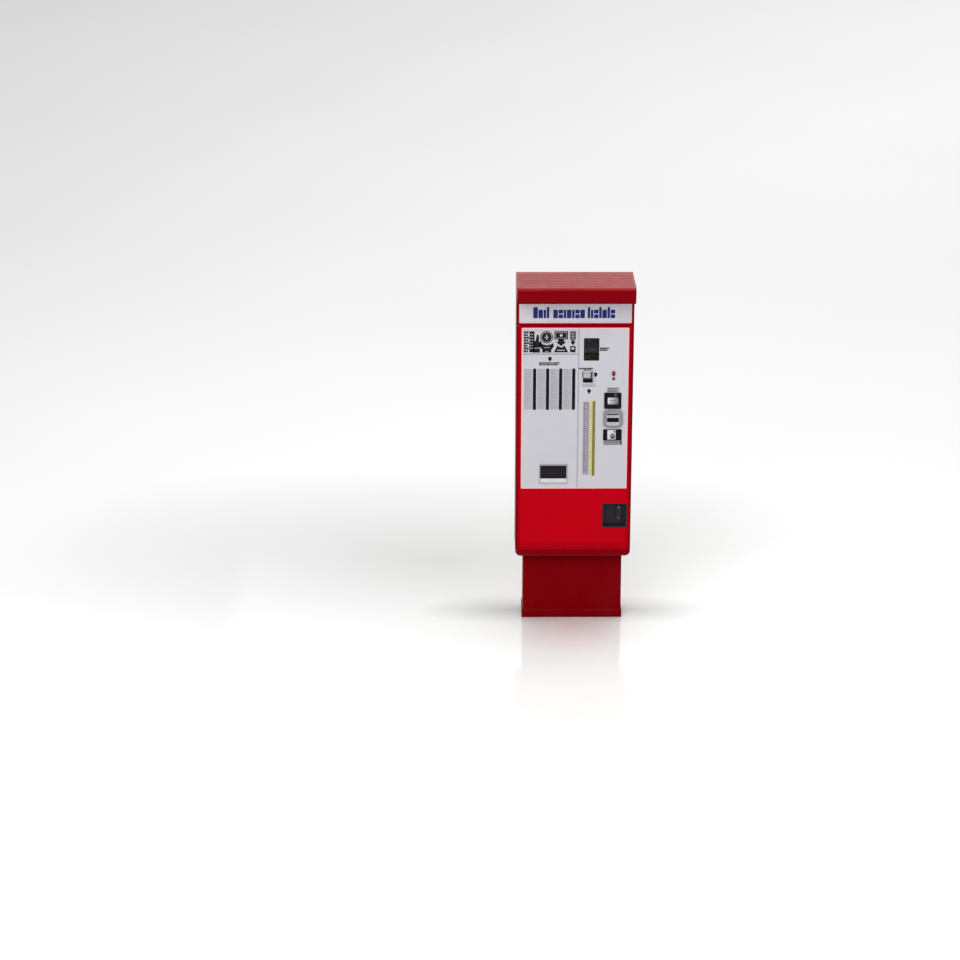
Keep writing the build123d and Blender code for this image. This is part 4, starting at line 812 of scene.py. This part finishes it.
def ticket_type_list():
    """The grey column of ticket types, with the prices' bars at its right."""
    x0, x1, z0, z1 = TYPE_LIST
    rng = random.Random(SEED + 3)
    sheet = Relief(INSERTS.front, PLATE)
    sheet.box(*inset(TYPE_LIST, 0.8 * MM), 1.5 * MM)
    sheet.done("ticket_type_sheet", LIST_GREY)
    marks = Relief(INSERTS.front - PLATE)
    margin = 4 * MM
    pitch = (z1 - z0 - 2 * margin) / TYPE_ROWS
    for row in range(TYPE_ROWS):
        z = z0 + margin + pitch * (row + 0.5)
        marks.words(x0 + 3 * MM, x0 + rng.uniform(13, 19) * MM, z, 3.0 * MM, rng, 0.5)
        marks.words(x1 - 9 * MM, x1 - 3 * MM, z, 3.0 * MM, rng, 0.3)
    marks.done("ticket_type_names", INK_DARK)


def key_marks():
    """A raised dot on each destination key; a bar, and an olive right-hand side, on each ticket type key."""
    dots = Relief(KEYS.front, 0.35 * MM)
    pitch = (KEYS.z1 - KEYS.z0) / KEY_ROWS
    for column in range(KEY_COLUMNS):
        for row in range(KEY_ROWS):
            dots.disc(column_x(column), KEYS.z0 + pitch * (row + 0.5), 1.1 * MM, 16, 0.12 * MM)
    dots.done("key_dots", DARK_GREY)
    bars = Relief(TYPE_KEYS.front, 0.25 * MM)
    margin = 3 * MM
    pitch = (TYPE_KEYS.z1 - TYPE_KEYS.z0 - 2 * margin) / TYPE_KEY_ROWS
    for row in range(TYPE_KEY_ROWS):
        z = TYPE_KEYS.z0 + margin + pitch * (row + 0.5)
        bars.slab(TYPE_KEYS.x0, z, 6, 11, -0.7, 0.7, 0.5)
    bars.done("type_key_marks", KEY_OLIVE)
    split = TYPE_KEYS.x0 + 16.5 * MM
    paint("ticket_type_keys", KEY_OLIVE, lambda c, n: c.x > split)


def payment_labels():
    """Grey labels above and below the payment slots, each with rows of bars."""
    sheets = Relief(INSERTS.front, PLATE)
    marks = Relief(INSERTS.front - PLATE)
    rng = random.Random(SEED + 4)
    rows = 3
    for x0, x1, z0, z1 in LABELS:
        sheets.box(*inset((x0, x1, z0, z1), 0.5 * MM), 1 * MM)
        for row in range(rows):
            z = z0 + (z1 - z0) * (row + 0.5) / rows
            marks.words(x0 + 5 * MM, x1 - rng.uniform(5, 18) * MM, z, 3.4 * MM, rng, 0.5)
    _, right, bottom, top = LABELS[1]
    marks.box(right - 11 * MM, right - 3 * MM, bottom + 2 * MM, top - 1 * MM)
    sheets.done("label_sheets", LABEL_GREY)
    marks.done("label_marks", INK_DARK)


# The display behind its window
def display_screen():
    """Three zones of the display with lines of bars on them, and a thin bezel round the window."""
    surface = WINDOW.back + 0.6 * MM
    x0, x1, z0, z1 = inset(WINDOW.edges, 1 * MM)
    tall = z1 - z0
    zones = (("top", LCD_DARK, 0.56, 1.0), ("middle", LCD_MID, 0.34, 0.55), ("bottom", LCD_OLIVE, 0.0, 0.33))
    for name, material, low, high in zones:
        zone = Relief(surface, 0.4 * MM, 0.6 * MM)
        zone.box(x0, x1, z0 + tall * low, z0 + tall * high)
        zone.done("display_" + name, material)
    marks = Relief(surface - 0.4 * MM, 0.1 * MM)
    rng = random.Random(SEED + 5)
    lines = ((0.9, 5, 0.8), (0.78, 3.4, 0.9), (0.7, 3.4, 0.6), (0.45, 5, 0.7), (0.2, 4, 0.85), (0.1, 4, 0.5))
    for share, height, reach in lines:
        marks.words(x0 + 6 * MM, x0 + (x1 - x0) * reach, z0 + tall * share, height * MM, rng, 0.5)
    marks.done("display_marks", LCD_LINES)
    bezel = Relief(FASCIA_FRONT, 0.8 * MM)
    bezel.frame(*inset(WINDOW.edges, -3.4 * MM), 4 * MM, 3.2 * MM)
    bezel.done("display_bezel", BLACK_PLASTIC)


# Payment devices
def screws(name, surface, rise, places, r):
    """Domed heads, each with a cross recess."""
    heads = Relief(surface, rise)
    recess = Relief(surface - rise, 0.12 * MM)
    for x, z in places:
        heads.disc(x, z, r, 20, 0.35 * r)
        recess.box(x - 0.55 * r, x + 0.55 * r, z - 0.09 * r, z + 0.09 * r)
        recess.box(x - 0.09 * r, x + 0.09 * r, z - 0.55 * r, z + 0.55 * r)
    heads.done(name + "s", DULL_ZINC)
    recess.done(name + "_slots", INK_BLACK)


def card_slot_marks():
    """Pale bezel with a dark mouth under a brow, a card symbol between two guides, and a grey sheet under it
    as a painted shadow.
    """
    x0, x1, z0, z1 = CARD_MOUTH
    edge = 0.2 * MM
    left, right, bottom, top = inset(CARD_MOUTH, -edge)

    def in_mouth(c, n):
        return CARD.front + edge < c.y < DOOR.back and left < c.x < right and bottom < c.z < top

    paint("card_reader", PALE_PLASTIC, lambda c, n: c.y < FASCIA_FRONT)
    paint("card_reader", BLACK_PLASTIC, in_mouth)
    marks = Relief(CARD.front, 0.3 * MM)
    low = z1 + 6 * MM
    marks.frame(CARD.x - 21 * MM, CARD.x + 9 * MM, low, low + 28 * MM, 3 * MM, 1.4 * MM)
    marks.slab(CARD.x, low, -21, 9, 18, 22)
    marks.polygon(CARD.x - 6 * MM, low, ((-5, 12), (5, 12), (0, 4)))
    marks.done("card_symbol", INK_GREY)
    brow = Relief(CARD.front, 2.2 * MM)
    brow.box(x0 - 1 * MM, x1 + 1 * MM, z1 - 0.5 * MM, z1 + 3.5 * MM, 1.5 * MM, 0.8 * MM)
    brow.done("card_mouth_brow", DARK_GREY)
    # A grey sheet under the card reader, as its painted shadow
    shade = Relief(FASCIA_FRONT, 0.4 * MM)
    shade.box(CARD.x0 + 3 * MM, CARD.x1 + 10 * MM, CARD.z0 - 14 * MM, CARD.z0 - 0.6 * MM, 5 * MM)
    shade.done("card_painted_shadow", INSERT_PRINT)
    rails = Relief(CARD.front, 1.2 * MM)
    for start, end in ((x0 - 3 * MM, x0 + 2 * MM), (x1 - 12 * MM, x1 - 1 * MM)):
        rails.box(start, end, z1 + 4 * MM, CARD.z1 - 8 * MM, 1.5 * MM, 0.4 * MM)
    rails.done("card_guides", DARK_GREY)


def coin_slot_marks():
    """Slot guide with painted light on the black plate, a coin symbol above and two fixing screws below."""
    surface, guide = FASCIA_FRONT - 3 * MM, FASCIA_FRONT - 3.2 * MM
    paint("coin_entry", COIN_GUIDE, lambda c, n: c.y < guide)
    marks = Relief(surface)
    marks.ring(COIN.x + 14 * MM, COIN.z1 - 12 * MM, 7.5 * MM, 1.6 * MM)
    marks.slab(COIN.x, COIN.z1, 13.2, 14.8, -16, -8)
    marks.done("coin_symbol", INK_GREY)
    places = [(COIN.x + s * 36 * MM, COIN.z0 + 9 * MM) for s in (-1, 1)]
    screws("coin_plate_screw", surface, 1.6 * MM, places, 2.6 * MM)


def note_slot_marks():
    """Pale face in a grey rim, a dark recess at the slot, a bar over it and lamps that lead a note in."""
    x0, x1, z0, z1 = NOTE_MOUTH
    rim, recess = NOTE.front + 0.2 * MM, NOTE.front + 4.2 * MM
    paint("note_bezel", RIM_GREY, lambda c, n: c.y < rim)
    paint("note_bezel", PALE_PLASTIC, lambda c, n: recess - 1 * MM < c.y < recess and n.y < -0.9)
    paint("note_bezel", BLACK_PLASTIC, lambda c, n: c.y > recess and x0 < c.x < x1 and z0 < c.z < z1)
    surface = NOTE.front + 4 * MM
    bar = Relief(surface, 1.4 * MM)
    bar.box(x0 + 1 * MM, x1 - 2 * MM, NOTE.z + 21 * MM, NOTE.z + 30 * MM, 3 * MM, 0.5 * MM)
    bar.done("note_guide_bar", DARK_GREY)
    marks = Relief(surface)
    for step in (-1, 0, 1):
        marks.polygon(NOTE.x + step * 13 * MM, NOTE.z, ((-3.5, -26), (3.5, -26), (0, -20)))
    marks.done("note_arrows", INK_GREY)
    lamps = Relief(surface, 1.2 * MM)
    for step in (-2, -1, 0, 1, 2):
        lamps.disc(NOTE.x + step * 10 * MM, NOTE.z + 13 * MM, 1.8 * MM, 16, 0.7 * MM)
    lamps.done("note_lamps", LENS_DARK)


def return_key_symbol():
    """A pale key with a coin that drops into a cup, drawn on it in grey."""
    paint("coin_return_button", KEY_WHITE)
    marks = Relief(RETURN.front, 0.25 * MM)
    x, z = RETURN.x, RETURN.z
    marks.polygon(x, z, ((-4, -21), (16, -21), (18, -1), (11, 0), (9, -9), (2, -9), (0, -1), (-7, -2)))
    marks.disc(x + 5.5 * MM, z + 2 * MM, 6 * MM, 28)
    marks.polygon(x, z, ((18, 6), (18, 23), (9, 23)))
    marks.done("return_symbol", INK_DARK, "return_key")


# The tray
def tray_details():
    """Bright lip, a shaded brow over the flap, an outline and a finger rail on the flap."""
    lip_top = 802 * MM
    lip_back, lip_front = DOOR.front + 0.8 * MM, TRAY.front + 1.5 * MM
    brow = Relief(TRAY.front + 1.7 * MM, 1.5 * MM)
    brow.box(TRAY.x0 + 6.4 * MM, TRAY.x1 - 6.4 * MM, FLAP.z1 - 8 * MM, FLAP.z1 + 1.6 * MM, 0, 0.6 * MM)
    brow.done("tray_brow", BROW_GREY)
    line = Relief(TRAY.front, 0.2 * MM)
    line.frame(*inset(TRAY.edges, 1 * MM), 2 * MM, 2.2 * MM)
    line.done("tray_outline", INK_GREY)
    paint("tray_cup", KEY_WHITE, lambda c, n: c.z < lip_top and lip_front < c.y < lip_back)
    rail = Relief(FLAP.front + 2.0 * MM, 2.2 * MM)
    rail.slab(FLAP.x, FLAP.z0, -52, 52, 5, 9, 1.9, 0.8)
    rail.done("flap_rail", SMOKED, body="flap")


# The lock
def lock_details():
    """A cap over the handle's pivot, a collar round the key, grip ribs and the dish's corner screws."""
    cap = Relief(HANDLE.front, 1.6 * MM)
    pivot_z = HANDLE.z0 + 12 * MM
    cap.disc(HANDLE.x, pivot_z, 4.6 * MM, 28, 0.9 * MM)
    cap.done("handle_pivot_cap", DULL_ZINC, "handle")
    paint("lock_cylinder", DULL_ZINC)
    collar = Relief(HANDLE.front, 0.9 * MM)
    collar.ring(BARREL.x, BARREL.z, 9.6 * MM, 2.2 * MM)
    collar.done("key_collar", HANDLE_BLACK, "handle")
    grip = Relief(HANDLE.front, 0.5 * MM)
    for step in range(5):
        z = pivot_z + (18 + 6 * step) * MM
        grip.slab(HANDLE.x, z, -7, 7, 0, 2.2, 1)
    grip.done("handle_ribs", HANDLE_BLACK, body="handle")
    x0, x1, z0, z1 = inset(DISH.edges, 3.1 * MM)
    screws("dish_screw", DISH.front, 1.1 * MM, [(x, z) for x in (x0, x1) for z in (z0, z1)], 1.9 * MM)


# Inside the casing
def block(mesh, low, high, bevel):
    """A box with bevelled edges, from its two corners in millimetres."""
    corners = bmesh.ops.create_cube(mesh, size=1.0)["verts"]
    size = [(b - a) * MM for a, b in zip(low, high)]
    middle = [(a + b) / 2 * MM for a, b in zip(low, high)]
    for v in corners:
        v.co = Vector([c + s * k for c, s, k in zip(middle, size, v.co)])
    edges = list({e for v in corners for e in v.link_edges})
    bmesh.ops.bevel(mesh, geom=edges, offset=bevel * MM, segments=2, affect="EDGES")


def door_blocks(name, places, material, bevel):
    """Blocks that ride on the door, in one piece."""
    mesh = bmesh.new()
    for low, high in places:
        block(mesh, low, high, bevel)
    piece(name, mesh, material, "door")


def board_parts():
    """Chips, sockets, resistors and capacitors on the back of the destination keys' board."""
    face = -25

    def standing(places, width, depth, height):
        return [((x, face - 0.2, z), (x + width, face + depth, z + height)) for x, z in places]

    chips = standing([(x, z) for x in (-236, -188, -96, -48) for z in (1340, 1260)], 26, 3, 11)
    door_blocks("board_chips", chips, BLACK_PLASTIC, 0.5)
    sockets = standing([(-156, 1392), (-240, 1384)], 28, 7, 10)
    door_blocks("board_sockets", sockets, PALE_PLASTIC, 0.8)
    resistors = standing([(x, z) for x in range(-232, -20, 22) for z in (1210, 1316)], 4, 1.6, 2)
    door_blocks("board_resistors", resistors, BRASS, 0.3)
    cans = bmesh.new()
    size = {"radius1": 4.6 * MM, "radius2": 4.4 * MM, "depth": 10 * MM}
    for x, z in ((-150, 1300), (-136, 1300), (-122, 1300), (-150, 1236), (-136, 1236)):
        turn = Matrix.Translation(Vector((x, face + 4.9, z)) * MM) @ Matrix.Rotation(math.pi / 2, 4, "X")
        bmesh.ops.create_cone(cans, cap_ends=True, segments=20, matrix=turn, **size)
    piece("board_capacitors", cans, STEEL, "door")


def ticket_strip():
    """The paper that runs from the roll down to the platen."""
    left, right, thickness = -160 * MM, -70 * MM, 0.25
    path = ((52.2, 1150), (52.6, 1130), (54.5, 1100), (58, 1070), (63, 1040), (67.6, 1012), (68.6, 998))
    mesh = bmesh.new()
    rows = []
    for y, z in path:
        section = ((left, y), (right, y), (right, y - thickness), (left, y - thickness))
        rows.append([mesh.verts.new((x, depth * MM, z * MM)) for x, depth in section])
    for a, b in zip(rows, rows[1:]):
        for i in range(4):
            j = (i + 1) % 4
            mesh.faces.new((a[i], a[j], b[j], b[i]))
    for ends in (rows[0], rows[-1]):
        mesh.faces.new(ends)
    piece("ticket_strip", mesh, PAPER, "cabinet")


def inside_labels():
    """Rating plates with bars in place of text, on the boxes inside."""
    rows = 4
    for name, node, place in (
        ("power_label", "power_supply", (-236, -150, 470, 520)),
        ("cash_box_label", "cash_box", (120, 210, 430, 470)),
        ("controller_label", "controller_box", (-236, -170, 1410, 1440)),
    ):
        front = Area(node).front
        x0, x1, z0, z1 = (v * MM for v in place)
        sheet = Relief(front, 0.3 * MM)
        sheet.box(x0, x1, z0, z1, 2 * MM)
        sheet.done(name, PLATE_WHITE, "cabinet")
        marks = Relief(front - 0.3 * MM, 0.1 * MM)
        rng = random.Random(SEED + 6)
        for row in range(rows):
            z = z0 + (z1 - z0) * (row + 0.5) / rows
            marks.words(x0 + 4 * MM, x0 + (x1 - x0) * rng.uniform(0.5, 0.92), z, 3.2 * MM, rng, 0.5)
        marks.done(name + "_marks", INK_DARK, "cabinet")


def painted_sides():
    """Darker red on the casing's sides, red with painted shade on the plinth and the hood, and black in the
    lock's dish.
    """
    at_side = HALF_WIDTH - 12 * MM
    for node in ("door_skin", "header_frame", "side_panel_left", "side_panel_right"):
        paint(node, SIDE_RED, lambda c, n: abs(n.x) > 0.35 and abs(c.x) > at_side)
    for node in ("plinth_front_cover", "plinth_shell", "base_plate"):
        paint(node, PLINTH_RED)
    paint("hood_cover", HOOD_RED)
    paint("lock_dish", DISH_BLACK)


finish_nodes()
painted_sides()
sign_blocks()
fascia_edging()
step_marks()
captions()
instruction_plate()
destination_lists()
ticket_type_list()
key_marks()
payment_labels()
display_screen()
card_slot_marks()
coin_slot_marks()
note_slot_marks()
return_key_symbol()
tray_details()
lock_details()
board_parts()
ticket_strip()
inside_labels()


# The stage: a pale glossy floor under soft light
def stage_floor():
    """A floor with painted shade darker towards one back corner, painted shadows behind and beside the
    plinth, and a faint painted red reflection before it.
    """
    half_size = 40
    mesh = bmesh.new()
    bmesh.ops.create_grid(mesh, x_segments=1, y_segments=1, size=half_size)
    data = bpy.data.meshes.new("floor")
    mesh.to_mesh(data)
    mesh.free()
    floor = linked("floor", data)
    f = Finish("floor")
    f.shader.inputs["IOR"].default_value = 1.62
    base = f.mix(f.span(f.noise(0.35, 2), 0.3, 0.7), rgb(251, 252, 251), rgb(248, 249, 248))
    # Painted shade, darker towards the back left corner
    back_corner_shade = f.math("ADD", f.times(f.along("Y"), 0.05), f.times(f.along("X"), -0.06))
    base = f.mix(f.span(back_corner_shade, 0.35, 1.1, 0.0, 0.34), base, rgb(10, 12, 8))
    # A broad painted shadow behind the machine and to its left
    base = f.mix(f.painted_patch((-0.7, 0.8), (2.6, 1.6), 0.38), base, rgb(10, 8, 8))
    # Painted shadows beside the plinth, left and right
    for middle, reach, strength in (((-0.32, 0.12), (0.5, 0.2), 0.42), ((0.32, 0.12), (0.42, 0.19), 0.38)):
        base = f.mix(f.painted_patch(middle, reach, strength), base, rgb(10, 7, 7))
    # A painted red reflection of the plinth on the floor before it
    f.colour(f.mix(f.painted_patch((0.0, -0.08), (0.34, 0.4), 0.22), base, rgb(226, 120, 132)))
    f.roughness(f.span(f.noise(0.8, 2), 0.3, 0.7, 0.06, 0.1))
    data.materials.append(f.material)


def soft_light(name, place, size, power, target=(0, 0, 0.9)):
    """A rectangular lamp that faces its target."""
    lamp = bpy.data.lights.new(name, "AREA")
    lamp.shape = "RECTANGLE"
    lamp.size, lamp.size_y = size
    lamp.energy = power
    thing = linked(name, lamp)
    thing.location = place
    thing.rotation_euler = (Vector(target) - Vector(place)).to_track_quat("-Z", "Y").to_euler()


def studio():
    """An even white sky, a lamp in front, one above, and a large one over the floor behind."""
    world = bpy.data.worlds.new("studio")
    bpy.context.scene.world = world
    world.use_nodes = True
    sky = world.node_tree.nodes["Background"]
    sky.inputs["Color"].default_value = (1.0, 1.0, 1.0, 1.0)
    sky.inputs["Strength"].default_value = 0.82
    soft_light("key", (-1.5, -4.0, 4.2), (3.0, 2.0), 90)
    soft_light("top", (0.5, 0.5, 4.5), (3.5, 3.0), 60)
    soft_light("back", (5.0, 13.0, 7.5), (16.0, 13.0), 260, (5.0, 13.0, 0.0))
    bpy.context.scene.view_settings.view_transform = "Standard"


def photo_camera():
    """A long lens from the front, looking down at the machine, which stands right of the view's middle."""
    lens = bpy.data.cameras.new("photo_camera")
    lens.lens = 126.689
    lens.clip_end = 200
    camera = linked("photo_camera", lens)
    camera.location = (-0.6467, -16.4016, 6.9588)
    camera.rotation_euler = [math.radians(turn) for turn in (69.3568, -0.1051, -0.5289)]
    bpy.context.scene.camera = camera


stage_floor()
studio()
photo_camera()
